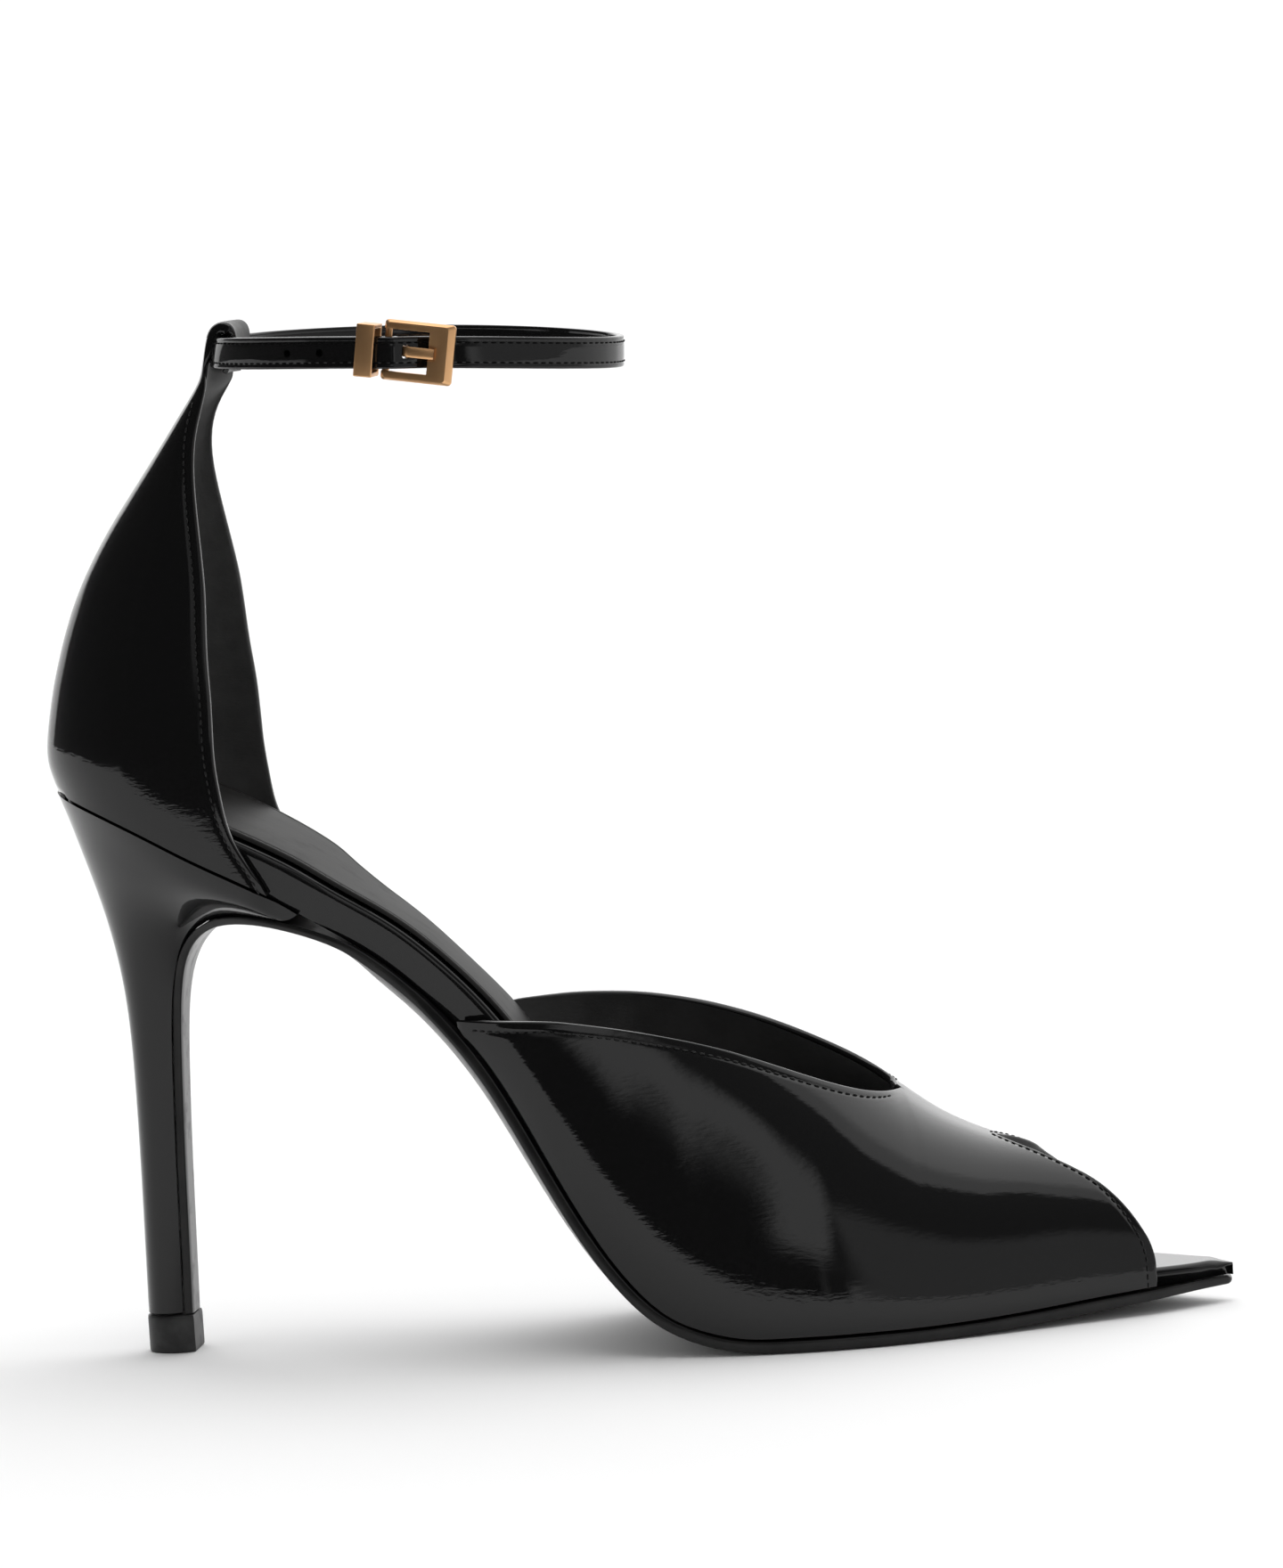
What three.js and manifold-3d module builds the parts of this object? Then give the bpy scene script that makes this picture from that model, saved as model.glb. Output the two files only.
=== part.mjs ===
// Ankle strap pump, a right shoe: a stiletto with a V throat, an open toe and a thin buckled strap.
// Millimetres. X runs from the back of the heel to the toe, Z is up, and +Y is the inner (medial) side.
import * as THREE from 'three';
import { mergeVertices } from 'three/addons/utils/BufferGeometryUtils.js';
import Module from 'manifold-3d';

// Driving dimensions: the last and its heights
const shoeLength = 217;        // back curve of the counter to the toe tip
const ballWidth = 68;          // insole across the joint of the toes
const seatWidth = 52;          // outside of the counter at its fullest
const seatHeight = 108.4;      // floor to the heel seat at the very back
const toeSpring = 2.6;         // lift of the toe above the tread
const pieceGap = 0.3;          // running gap between pieces that meet

// Sole and heel
const outsoleEdge = 2.1;       // edge thickness of the outsole
const treadDepth = 0.5;        // how far the flat tread stands below the outsole's edge
const waistCrown = 2.2;        // how far the waist's underside swells below its edge
const outsoleMargin = 0.6;     // outsole past the upper
const flapThickness = 1.5;     // outsole leather down the front of the heel
const heelRim = 0.2;           // heel top past the counter
const heelLip = 3.5;           // heel seat past the last section of its front
const stemWidth = 10.4;        // heel stem across, at its foot
const liftHeight = 7.1;        // top lift, the walking piece under the heel
const liftMargin = 0.25;       // top lift past the heel's foot
const liftBevel = 0.4;

// Insole and sock
const waistBoard = 7.1;        // insole at the waist
const toeBoard = 3.9;          // insole at the toe
const boardRound = 1.5;        // rounding of its upper edge
const toeFall = 1.8;           // how far its top falls at the toe's tip
const innerDip = 4.4;          // how far its top dips towards the inner side, behind the ball
const sockThickness = 1;
const sockCrown = 0.4;         // swell of the sock along its middle
const sockInset = 1.1;         // insole edge to sock edge
const sockEnd = 186;           // where the sock stops under the toe opening
const sockNose = 16;           // length of its rounded end

// Upper
const vampWall = 1.5;
const counterWall = 1.6;
const counterFront = 44.2;     // where the counter's front edge meets the seat
const wingStart = 78.6;        // rear point of the vamp
const wingTail = 1.2;          // height of that point
const throatAt = 158;          // deepest point of the V throat
const toeApexAt = 174.3;       // rear end of the toe opening
const toeFootLateral = 203.4;  // front of the vamp at the sole, outer side
const toeFootMedial = 197;     // and inner side
const vampHeight = 62.7;       // topline at the wings
const ridgeHeight = 43.1;      // top of the vamp at the throat
const wingSwell = 3.9;         // bulge of the vamp's side above the sole at the wings
const vampSwell = 0.35;        // and at the ball
const wingTurn = 0.19;         // how soon it is reached, in radians round the last
const swellTurn = 0.03;
const backHeight = 183;        // where the counter's back strip turns into the tab
const tabHalfWidth = 6;
const tabWall = 1;

// Ankle strap and its buckle
const strapWidth = 5.9;
const strapThickness = 1.4;
const foldThickness = 0.8;     // strap pared down where it turns round the buckle
const strapLength = 74.3;      // loop from back to front, between leather centres
const strapSpan = 56;          // loop across
const strapLevel = 188.4;      // middle of the strap at the tab
const strapDrop = 4.5;         // fall from the tab to the front
const strapRise = 1;           // how far its sides stand above that fall
const buckleLength = 13.1;
const buckleHeight = 11.1;
const buckleThickness = 1.7;
const buckleBar = 4.6;         // front bar, which the prong rests on
const buckleRail = 1.65;       // upper and lower rails
const frontBevel = 1.2;        // slope at the frame's front end
const railBevel = 0.45;        // and along its rails
const pivotBar = 1.3;          // rear bar, which the strap and the prong turn round
const buckleLean = 9.5;        // degrees nose down
const buckleYaw = -2;          // degrees its nose turns out from the ankle
const keeperLength = 3.4;
const keeperHeight = 9.7;
const keeperWall = 0.8;
const prongWidth = 1.9;
const prongThickness = 0.9;

// Even rise through a short table: no overshoot, so a level stretch stays level
function track(rows, key, column) {
  const at = rows.map((row) => row[key]);
  const value = rows.map((row) => row[column]);
  const rise = at.slice(1).map((a, i) => (value[i + 1] - value[i]) / (a - at[i]));
  const slope = value.map((v, i) => {
    if (i === 0) return rise[0];
    if (i === rise.length) return rise[i - 1];
    return rise[i - 1] * rise[i] <= 0 ? 0 : (2 * rise[i - 1] * rise[i]) / (rise[i - 1] + rise[i]);
  });
  return (a) => {
    let i = 0;
    while (i < rise.length - 1 && a > at[i + 1]) i += 1;
    const span = at[i + 1] - at[i];
    const t = Math.min(1, Math.max(0, (a - at[i]) / span));
    const u = 1 - t;
    return value[i] * u * u * (1 + 2 * t) + value[i + 1] * t * t * (3 - 2 * t)
      + span * t * u * (slope[i] * u - slope[i + 1] * t);
  };
}

const lerp = (a, b, t) => a + (b - a) * t;
const steps = (count) => Array.from({ length: count + 1 }, (_, i) => i / count);
const ease = (t) => { const c = Math.min(1, Math.max(0, t)); return c * c * (3 - 2 * c); };

// Line of the sole: the top face of the outsole, from the seat over the waist to the toe.
// along is a share of the length, drop a share of the seat's height above the forefoot,
// spring a share of the toe spring.
const soleRows = [
  { along: 0.006, drop: 1.0, spring: 0 },
  { along: 0.046, drop: 0.97, spring: 0 },
  { along: 0.092, drop: 0.927, spring: 0 },
  { along: 0.138, drop: 0.876, spring: 0 },
  { along: 0.203, drop: 0.807, spring: 0 },
  { along: 0.249, drop: 0.747, spring: 0 },
  { along: 0.295, drop: 0.687, spring: 0 },
  { along: 0.336, drop: 0.612, spring: 0 },
  { along: 0.378, drop: 0.516, spring: 0 },
  { along: 0.406, drop: 0.423, spring: 0 },
  { along: 0.431, drop: 0.326, spring: 0 },
  { along: 0.456, drop: 0.231, spring: 0 },
  { along: 0.486, drop: 0.137, spring: 0 },
  { along: 0.528, drop: 0.047, spring: 0 },
  { along: 0.567, drop: 0.014, spring: 0 },
  { along: 0.604, drop: 0, spring: 0 },
  { along: 0.735, drop: 0, spring: 0 },
  { along: 0.806, drop: 0, spring: 0.16 },
  { along: 0.876, drop: 0, spring: 0.54 },
  { along: 0.94, drop: 0, spring: 0.88 },
  { along: 1, drop: 0, spring: 1 },
];
const forefootLevel = outsoleEdge + treadDepth;
const dropAt = track(soleRows, 'along', 'drop');
const springAt = track(soleRows, 'along', 'spring');
const soleHeight = (x) => forefootLevel + (seatHeight - forefootLevel) * dropAt(x / shoeLength)
  + toeSpring * springAt(x / shoeLength);
const soleSlope = (x) => soleHeight(x + 0.5) - soleHeight(x - 0.5);

// Upright of a cross-section: it leans back with the counter at the heel, and is square to the sole line
// from the counter's front edge on
const seatFront = counterFront / shoeLength;
const backLean = -0.22;
function upright(x) {
  const lean = lerp(backLean, -soleSlope(x), ease((x / shoeLength - 0.02) / (seatFront - 0.02)));
  const size = Math.hypot(lean, 1);
  return { x: lean / size, z: 1 / size };
}
function place(x, y, up) {
  const axis = upright(x);
  return [x + axis.x * up, y, soleHeight(x) + axis.z * up];
}

// Plan of the insole in front of the counter: signed edges as shares of the ball width
const planRows = [
  { along: 0.203, lateral: -0.345, medial: 0.345 },
  { along: 0.23, lateral: -0.345, medial: 0.292 },
  { along: 0.276, lateral: -0.343, medial: 0.23 },
  { along: 0.332, lateral: -0.347, medial: 0.2 },
  { along: 0.387, lateral: -0.374, medial: 0.205 },
  { along: 0.442, lateral: -0.415, medial: 0.255 },
  { along: 0.498, lateral: -0.456, medial: 0.338 },
  { along: 0.553, lateral: -0.488, medial: 0.412 },
  { along: 0.608, lateral: -0.5, medial: 0.466 },
  { along: 0.664, lateral: -0.485, medial: 0.495 },
  { along: 0.719, lateral: -0.442, medial: 0.48 },
  { along: 0.774, lateral: -0.374, medial: 0.436 },
  { along: 0.829, lateral: -0.288, medial: 0.362 },
  { along: 0.885, lateral: -0.191, medial: 0.268 },
  { along: 0.935, lateral: -0.11, medial: 0.184 },
  { along: 0.968, lateral: -0.045, medial: 0.118 },
  { along: 0.986, lateral: 0.002, medial: 0.08 },
  { along: 0.995, lateral: 0.025, medial: 0.06 },
  { along: 1, lateral: 0.04, medial: 0.046 },
];
const lateralAt = track(planRows, 'along', 'lateral');
const medialAt = track(planRows, 'along', 'medial');

// Counter: back and front edge of each level section, as shares of the counter's reach at the seat,
// and its half width, as a share of half the seat width
const counterRows = [
  { level: 0.45, back: 0.24, front: 1.04, half: 0.93 },
  { level: 0.484, back: 0.19, front: 1.0, half: 0.955 },
  { level: 0.519, back: 0.124, front: 0.912, half: 0.97 },
  { level: 0.552, back: 0.077, front: 0.851, half: 0.985 },
  { level: 0.59, back: 0.042, front: 0.828, half: 1.0 },
  { level: 0.623, back: 0, front: 0.814, half: 1.0 },
  { level: 0.678, back: 0.032, front: 0.812, half: 0.946 },
  { level: 0.732, back: 0.09, front: 0.799, half: 0.854 },
  { level: 0.787, back: 0.174, front: 0.796, half: 0.738 },
  { level: 0.842, back: 0.299, front: 0.776, half: 0.6 },
  { level: 0.896, back: 0.457, front: 0.753, half: 0.454 },
  { level: 0.929, back: 0.559, front: 0.747, half: 0.369 },
  { level: 0.962, back: 0.656, front: 0.769, half: 0.31 },
  { level: 0.986, back: 0.728, front: 0.81, half: 0.28 },
  { level: 1, back: 0.772, front: 0.82, half: 0.27 },
];
const roundness = 2.2;
const backAt = track(counterRows, 'level', 'back');
const frontAt = track(counterRows, 'level', 'front');
const halfAt = track(counterRows, 'level', 'half');
// A level section at height z, drawn in by inset from the outside of the wall
function counterSection(z, inset) {
  const level = z / backHeight;
  const tabShare = (tabHalfWidth * 2) / seatWidth;
  const half = Math.max(halfAt(level), tabShare) * (seatWidth / 2);
  return { back: backAt(level) * counterFront + inset, front: frontAt(level) * counterFront, half: half - inset };
}
function counterPoint(z, turn) {
  const section = counterSection(z, 0);
  const angle = (Math.abs(turn) * Math.PI) / 2;
  const reach = 1 - Math.cos(angle) ** (2 / roundness);
  return [lerp(section.back, section.front, reach),
    Math.sign(turn) * section.half * Math.sin(angle) ** (2 / roundness), z];
}
function seatHalf(x, inset, up = 0) {
  const [at, , z] = place(x, 0, up);
  const section = counterSection(z, inset);
  const reach = Math.min(1, Math.max(0, (at - section.back) / (section.front - section.back)));
  return section.half * (1 - (1 - reach) ** roundness) ** (1 / roundness);
}

// Edge of the insole on either side, and of the pieces that follow it
const insideSeat = counterWall + pieceGap * 1.8;
const seatBack = counterSection(seatHeight, insideSeat).back;
function insoleEdge(x, side, up = 0) {
  const along = x / shoeLength;
  const plan = (side < 0 ? lateralAt(along) : medialAt(along)) * ballWidth;
  const blend = ease((x - counterFront) / 7);
  return blend >= 1 ? plan : lerp(side * seatHalf(x, insideSeat, up), plan, blend);
}
const boardAt = (x) => lerp(waistBoard, toeBoard, ease((x / shoeLength - 0.4) / 0.5));
const dipAt = (x) => innerDip * ease((x / shoeLength - 0.12) / 0.24)
  * (1 - ease((x / shoeLength - 0.52) / 0.2));

// Places of the cross-sections of sole, insole and sock, as shares of the length
const seatStations = [0.02, 0.026, 0.036, 0.052, 0.074, 0.1, 0.13, 0.162, 0.196, 0.23];
const soleStations = [0.262, 0.285, 0.307, 0.33, 0.352, 0.374, 0.395, 0.415, 0.434, 0.453, 0.471, 0.489, 0.508,
  0.528, 0.552, 0.578, 0.604, 0.64, 0.68, 0.72, 0.76, 0.8, 0.84, 0.875, 0.908, 0.935, 0.958, 0.975, 0.986, 0.9945];

// Joins rings of equal count into one closed body, each end closed around its middle
function loft(rings) {
  const count = rings[0].length;
  const points = rings.flat();
  const faces = [];
  for (let r = 0; r < rings.length - 1; r += 1) {
    for (let i = 0; i < count; i += 1) {
      const a = r * count + i;
      const b = r * count + ((i + 1) % count);
      faces.push([a, b, b + count], [a, b + count, a + count]);
    }
  }
  [0, rings.length - 1].forEach((r) => {
    const middle = [0, 1, 2].map((k) => rings[r].reduce((sum, p) => sum + p[k], 0) / count);
    points.push(middle);
    for (let i = 0; i < count; i += 1) {
      const a = r * count + i;
      const b = r * count + ((i + 1) % count);
      faces.push(r === 0 ? [b, a, points.length - 1] : [a, b, points.length - 1]);
    }
  });
  return body(points, faces);
}

// One closed body from points and triangles, turned so that its faces look outwards
function body(points, faces) {
  const geometry = new THREE.BufferGeometry();
  geometry.setAttribute('position', new THREE.Float32BufferAttribute(points.flat(), 3));
  geometry.setIndex(faces.flat());
  const merged = mergeVertices(geometry, 1e-4);
  const spot = merged.getAttribute('position');
  const index = Array.from(merged.getIndex().array);
  const kept = [];
  let volume = 0;
  const corner = [new THREE.Vector3(), new THREE.Vector3(), new THREE.Vector3()];
  for (let i = 0; i < index.length; i += 3) {
    const [a, b, c] = index.slice(i, i + 3);
    if (a === b || b === c || a === c) continue;
    kept.push(a, b, c);
    corner.forEach((v, k) => v.fromBufferAttribute(spot, [a, b, c][k]));
    volume += corner[0].dot(corner[1].clone().cross(corner[2]));
  }
  if (volume < 0) {
    for (let i = 0; i < kept.length; i += 3) [kept[i], kept[i + 1]] = [kept[i + 1], kept[i]];
  }
  merged.setIndex(kept);
  merged.computeVertexNormals();
  return merged;
}

// Front and back of the heel, from its foot up to the seat. along and level place the top face of the
// outsole's flap on the heel's front, back and rear the heel's rear edge, all as shares of the shoe's length
// and of the seat's height. half is the heel's half width and face that of its flat front, as shares of the
// stem's width, and stem how far the section has turned from the seat's outline to the stem's.
const footLevel = (liftHeight + pieceGap) / seatHeight;
const heelRows = [
  { along: 0.0872, level: footLevel, back: 0.0522, rear: footLevel, half: 0.49, face: 0.395, stem: 1 },
  { along: 0.0887, level: 0.18, back: 0.0532, rear: 0.19, half: 0.5, face: 0.4, stem: 1 },
  { along: 0.0905, level: 0.34, back: 0.0548, rear: 0.34, half: 0.51, face: 0.405, stem: 1 },
  { along: 0.0935, level: 0.5, back: 0.0552, rear: 0.485, half: 0.53, face: 0.42, stem: 1 },
  { along: 0.0965, level: 0.6, back: 0.054, rear: 0.585, half: 0.58, face: 0.46, stem: 1 },
  { along: 0.1015, level: 0.665, back: 0.0508, rear: 0.655, half: 0.67, face: 0.56, stem: 1 },
  { along: 0.111, level: 0.716, back: 0.0465, rear: 0.71, half: 0.81, face: 0.74, stem: 0.97 },
  { along: 0.129, level: 0.753, back: 0.041, rear: 0.765, half: 1.06, face: 1.02, stem: 0.84 },
  { along: 0.153, level: 0.771, back: 0.0335, rear: 0.823, half: 1.42, face: 1.38, stem: 0.6 },
  { along: 0.18, level: 0.773, back: 0.0245, rear: 0.884, half: 1.84, face: 1.75, stem: 0.34 },
  { along: 0.212, level: 0.764, back: 0.0155, rear: 0.945, half: 2.22, face: 2.08, stem: 0.12 },
];
const breastCount = heelRows.length;
const outsolePath = [
  ...heelRows.map((row) => new THREE.Vector3(row.along * shoeLength, 0, row.level * seatHeight)),
  ...soleStations.map((along) => {
    const [x, , z] = place(along * shoeLength, 0, -pieceGap);
    return new THREE.Vector3(x, 0, z);
  }),
];
const pathCurve = new THREE.CatmullRomCurve3(outsolePath, false, 'centripetal');
// The path's point at a row, and the direction that leads from the leather's top face to its underside
function pathFrame(row) {
  const tangent = pathCurve.getTangent(row / (outsolePath.length - 1));
  return { point: outsolePath[row], out: new THREE.Vector3(tangent.z, 0, -tangent.x) };
}

function makeOutsole() {
  const crownShares = [-1, -0.93, -0.8, -0.6, 0, 0.6, 0.8, 0.93, 1];
  const rings = outsolePath.map((_, i) => {
    const { point, out } = pathFrame(i);
    const onBreast = i < breastCount;
    const along = point.x / shoeLength;
    const waist = onBreast ? 0 : ease((along - 0.25) / 0.06) * (1 - ease((along - 0.42) / 0.16));
    const edge = onBreast ? flapThickness : lerp(flapThickness, outsoleEdge, ease((along - 0.24) / 0.06));
    const toe = ease((along - 0.88) / 0.12);
    const depth = edge * (1 - 0.25 * toe);
    const swell = onBreast ? 0.15 : lerp(treadDepth * (1 - 0.6 * toe) - pieceGap, waistCrown, waist);
    const wrapped = wallAround(point.x) + outsoleMargin;
    const flat = onBreast ? heelRows[i].face * stemWidth : 0;
    const low = onBreast ? -flat : insoleEdge(point.x, -1) - wrapped;
    const high = onBreast ? flat : insoleEdge(point.x, 1) + wrapped;
    const middle = (low + high) / 2;
    const half = (high - low) / 2;
    const at = (share, down) => [point.x + out.x * down, middle + half * share, point.z + out.z * down];
    const under = crownShares.map((share) => {
      const past = Math.max(0, (Math.abs(share) - 0.6) / 0.4);
      return at(share * (Math.abs(share) === 1 ? 0.985 : 1), depth + swell * (1 - past * past));
    });
    return [at(1, 0), at(0, 0), at(-1, 0), at(-1, depth * 0.75), ...under, at(1, depth * 0.75)];
  });
  return loft(rings);
}

// How far the outside of the upper stands off the insole at a place: a step at the vamp's wing
function wallAround(x) {
  return (vampWall + pieceGap) * ease((x - wingStart + 8) / 9) * (1 - ease((x - toeFootLateral - 1) / 6));
}

function makeInsole() {
  const rings = [...seatStations, ...soleStations, 1].map((along) => {
    const x = along * shoeLength;
    const top = boardAt(x) - toeFall * (ease((along - 0.88) / 0.1) + ease((along - 0.978) / 0.022)) / 2;
    const low = insoleEdge(x, -1);
    const high = insoleEdge(x, 1);
    const lowTop = insoleEdge(x, -1, top);
    const highTop = insoleEdge(x, 1, top - dipAt(x));
    const topAt = (y) => top - (dipAt(x) * (y - low)) / (high - low);
    const bend = Math.min(boardRound, (high - low) * 0.3);
    return [
      place(x, low + bend * 0.2, 0), place(x, (low + high) / 2, 0), place(x, high - bend * 0.2, 0),
      place(x, high, 0.6), place(x, highTop, topAt(highTop) - bend),
      place(x, highTop - bend * 0.3, topAt(highTop) - bend * 0.3),
      ...[1, 0.5, 0, -0.5, -1].map((share) => {
        const y = (lowTop + highTop) / 2 + ((highTop - lowTop) / 2 - bend) * share;
        return place(x, y, topAt(y));
      }),
      place(x, lowTop + bend * 0.3, top - bend * 0.3), place(x, lowTop, top - bend), place(x, low, 0.6),
    ];
  });
  return loft(rings);
}

function makeSock() {
  const lastShare = sockEnd / shoeLength;
  const stations = [...seatStations.slice(1), ...soleStations.filter((along) => along < lastShare - 0.004),
    lastShare - 0.012, lastShare - 0.004, lastShare].sort((a, b) => a - b);
  const rings = stations.map((along) => {
    const x = along * shoeLength;
    const end = Math.sqrt(Math.max(0.003, 1 - Math.max(0, (x - sockEnd + sockNose) / sockNose) ** 2));
    const level = boardAt(x) + pieceGap;
    const low = insoleEdge(x, -1);
    const high = insoleEdge(x, 1);
    const lowTop = insoleEdge(x, -1, level);
    const highTop = insoleEdge(x, 1, level - dipAt(x));
    const centre = (lowTop + highTop) / 2;
    const half = Math.max(0.4, ((highTop - lowTop) / 2 - sockInset) * end);
    const under = (y) => level - (dipAt(x) * (centre + half * y - low)) / (high - low);
    const upper = [0.995, 0.93, 0.75, 0.5, 0.2, -0.2, -0.5, -0.75, -0.93, -0.995].map((y) => place(x,
      centre + half * y, under(y) + sockThickness * (Math.abs(y) > 0.99 ? 0.6 : 1) + sockCrown * (1 - y * y) * end));
    return [...[-1, -0.5, 0, 0.5, 1].map((y) => place(x, centre + half * y, under(y))), ...upper];
  });
  return loft(rings);
}

const stemTurn = (125 * Math.PI) / 180;  // how far round the stem's rounding runs before its flat front
function heelRing(row, i) {
  const { point, out } = pathFrame(i);
  const front = point.clone().addScaledVector(out, -pieceGap);
  const back = { x: row.back * shoeLength, z: row.rear * seatHeight };
  const side = (sign) => steps(12).map((s) => {
    const seatReach = 1 - Math.cos((s * Math.PI) / 2);
    const stemReach = (1 - Math.cos(stemTurn * s)) / (1 - Math.cos(stemTurn));
    const reach = lerp(seatReach, stemReach, row.stem);
    const seatWide = (1 - (1 - Math.min(1, seatReach * 1.12)) ** roundness) ** (1 / roundness);
    const wide = lerp(seatWide, Math.sin(stemTurn * s), row.stem);
    return [lerp(back.x, front.x, reach), sign * row.half * stemWidth * wide, lerp(back.z, front.z, reach)];
  });
  return [...side(-1), ...side(1).slice(1).reverse()];
}
function heelSeatRing() {
  const start = counterSection(seatHeight, 0).back - heelRim;
  const lip = heelRows[breastCount - 1].along * shoeLength + heelLip;
  const side = (sign) => steps(12).map((s) => {
    const x = lerp(start, lip, 1 - Math.cos((s * Math.PI) / 2));
    const wide = Math.abs(lerp(sign * (seatHalf(x + heelRim * 0.5, 0) + heelRim),
      insoleEdge(x, sign) + sign * 0.2, ease((x - counterFront + 3) / 6)));
    return [x, s === 0 ? 0 : sign * wide, soleHeight(x) - pieceGap / upright(x).z];
  });
  return [...side(-1), ...side(1).slice(1).reverse()];
}
function makeHeel() {
  const rings = [heelSeatRing(), ...heelRows.map(heelRing).reverse()];
  const count = rings[0].length;
  const points = rings.flat();
  const faces = [];
  for (let r = 0; r < rings.length - 1; r += 1) {
    for (let i = 0; i < count; i += 1) {
      const a = r * count + i;
      const b = r * count + ((i + 1) % count);
      faces.push([a, b, b + count], [a, b + count, a + count]);
    }
  }
  // Seat and foot are closed by strips from side to side, so that the seat keeps its curve
  [0, rings.length - 1].forEach((r) => {
    for (let i = 0; i < (count - 1) / 2; i += 1) {
      const a = r * count + i;
      const b = r * count + i + 1;
      const c = r * count + ((count - i) % count);
      const d = r * count + ((count - i - 1) % count);
      const pair = [[a, b, d], [a, d, c]];
      faces.push(...pair.map((f) => (r === 0 ? [f[1], f[0], f[2]] : f)));
    }
  });
  return body(points, faces);
}

function makeLift() {
  const foot = heelRows[0];
  const front = pathFrame(0).point.x + flapThickness;
  const back = foot.back * shoeLength - liftMargin;
  const ring = (z, inset) => {
    const side = (sign) => steps(8).map((s) => {
      const reach = (1 - Math.cos(stemTurn * s)) / (1 - Math.cos(stemTurn));
      return [lerp(back + inset, front + liftMargin - inset, reach),
        sign * (foot.half * stemWidth + liftMargin - inset) * Math.sin(stemTurn * s), z];
    });
    return [...side(-1), ...side(1).slice(1).reverse()];
  };
  return loft([ring(0, liftBevel), ring(liftBevel, 0), ring(liftHeight, 0)]);
}

// Shell of even wall: an outer grid and the same grid moved in, closed along its open borders
function shell(grids) {
  const points = [];
  const faces = [];
  const skin = (grid) => {
    const start = points.length;
    const across = grid[0].length;
    grid.forEach((line) => points.push(...line));
    return (i, j) => start + i * across + j;
  };
  grids.forEach(({ outer, inner, rims }) => {
    const a = skin(outer);
    const b = skin(inner);
    const last = outer.length - 1;
    const end = outer[0].length - 1;
    for (let i = 0; i < last; i += 1) {
      for (let j = 0; j < end; j += 1) {
        faces.push([a(i, j), a(i + 1, j), a(i + 1, j + 1)], [a(i, j), a(i + 1, j + 1), a(i, j + 1)]);
        faces.push([b(i, j), b(i + 1, j + 1), b(i + 1, j)], [b(i, j), b(i, j + 1), b(i + 1, j + 1)]);
      }
      if (rims.low(i)) faces.push([a(i, 0), b(i + 1, 0), a(i + 1, 0)], [a(i, 0), b(i, 0), b(i + 1, 0)]);
      if (rims.high(i)) {
        faces.push([a(i, end), a(i + 1, end), b(i + 1, end)], [a(i, end), b(i + 1, end), b(i, end)]);
      }
    }
    for (let j = 0; j < end; j += 1) {
      faces.push([a(0, j), a(0, j + 1), b(0, j + 1)], [a(0, j), b(0, j + 1), b(0, j)]);
      faces.push([a(last, j), b(last, j + 1), a(last, j + 1)], [a(last, j), b(last, j), b(last, j + 1)]);
    }
  });
  return body(points, faces);
}

// Last over the forefoot. ridge is the top of each section, as a share of the throat's height, crest its
// sideways place as a share of the ball width, topline the edge of the vamp as a share of the wing's.
const lastRows = [
  { along: 0.36, ridge: 2.42, crest: -0.01 },
  { along: 0.42, ridge: 2.26, crest: 0 },
  { along: 0.484, ridge: 2.02, crest: 0.01 },
  { along: 0.553, ridge: 1.72, crest: 0.02 },
  { along: 0.622, ridge: 1.42, crest: 0.028 },
  { along: 0.682, ridge: 1.18, crest: 0.03 },
  { along: 0.728, ridge: 0.985, crest: 0.03 },
  { along: 0.76, ridge: 0.873, crest: 0.03 },
  { along: 0.803, ridge: 0.776, crest: 0.034 },
  { along: 0.845, ridge: 0.716, crest: 0.038 },
  { along: 0.889, ridge: 0.638, crest: 0.04 },
  { along: 0.937, ridge: 0.52, crest: 0.042 },
];
const toplineRows = [
  { share: 0, lateral: 1.008, medial: 0.972 },
  { share: 0.1, lateral: 1.002, medial: 0.983 },
  { share: 0.2, lateral: 0.999, medial: 0.988 },
  { share: 0.32, lateral: 0.975, medial: 0.98 },
  { share: 0.46, lateral: 0.935, medial: 0.953 },
  { share: 0.6, lateral: 0.883, medial: 0.906 },
  { share: 0.7, lateral: 0.833, medial: 0.86 },
  { share: 0.8, lateral: 0.778, medial: 0.806 },
  { share: 0.88, lateral: 0.735, medial: 0.76 },
  { share: 0.95, lateral: 0.702, medial: 0.715 },
  { share: 1, lateral: 0.687, medial: 0.687 },
];
// Edge of the toe opening: how far it has come back to its rear end as it climbs from the sole to the crest
const openingRows = [
  { climb: 0, lateral: 0, medial: 0 },
  { climb: 0.14, lateral: 0, medial: 0.04 },
  { climb: 0.28, lateral: 0.027, medial: 0.14 },
  { climb: 0.39, lateral: 0.078, medial: 0.25 },
  { climb: 0.55, lateral: 0.185, medial: 0.46 },
  { climb: 0.7, lateral: 0.35, medial: 0.67 },
  { climb: 0.78, lateral: 0.51, medial: 0.72 },
  { climb: 0.86, lateral: 0.7, medial: 0.81 },
  { climb: 0.94, lateral: 0.88, medial: 0.93 },
  { climb: 1, lateral: 1, medial: 1 },
];
const ridgeAt = track(lastRows, 'along', 'ridge');
const crestAt = track(lastRows, 'along', 'crest');
const openingAt = { lateral: track(openingRows, 'climb', 'lateral'), medial: track(openingRows, 'climb', 'medial') };
const toplineAt = { lateral: track(toplineRows, 'share', 'lateral'), medial: track(toplineRows, 'share', 'medial') };
const lastFullness = 2 / 2.2;
function lastHeights(x) {
  const foot = soleHeight(x) + pieceGap;
  return { foot, rise: ridgeAt(x / shoeLength) * ridgeHeight - foot };
}
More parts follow.
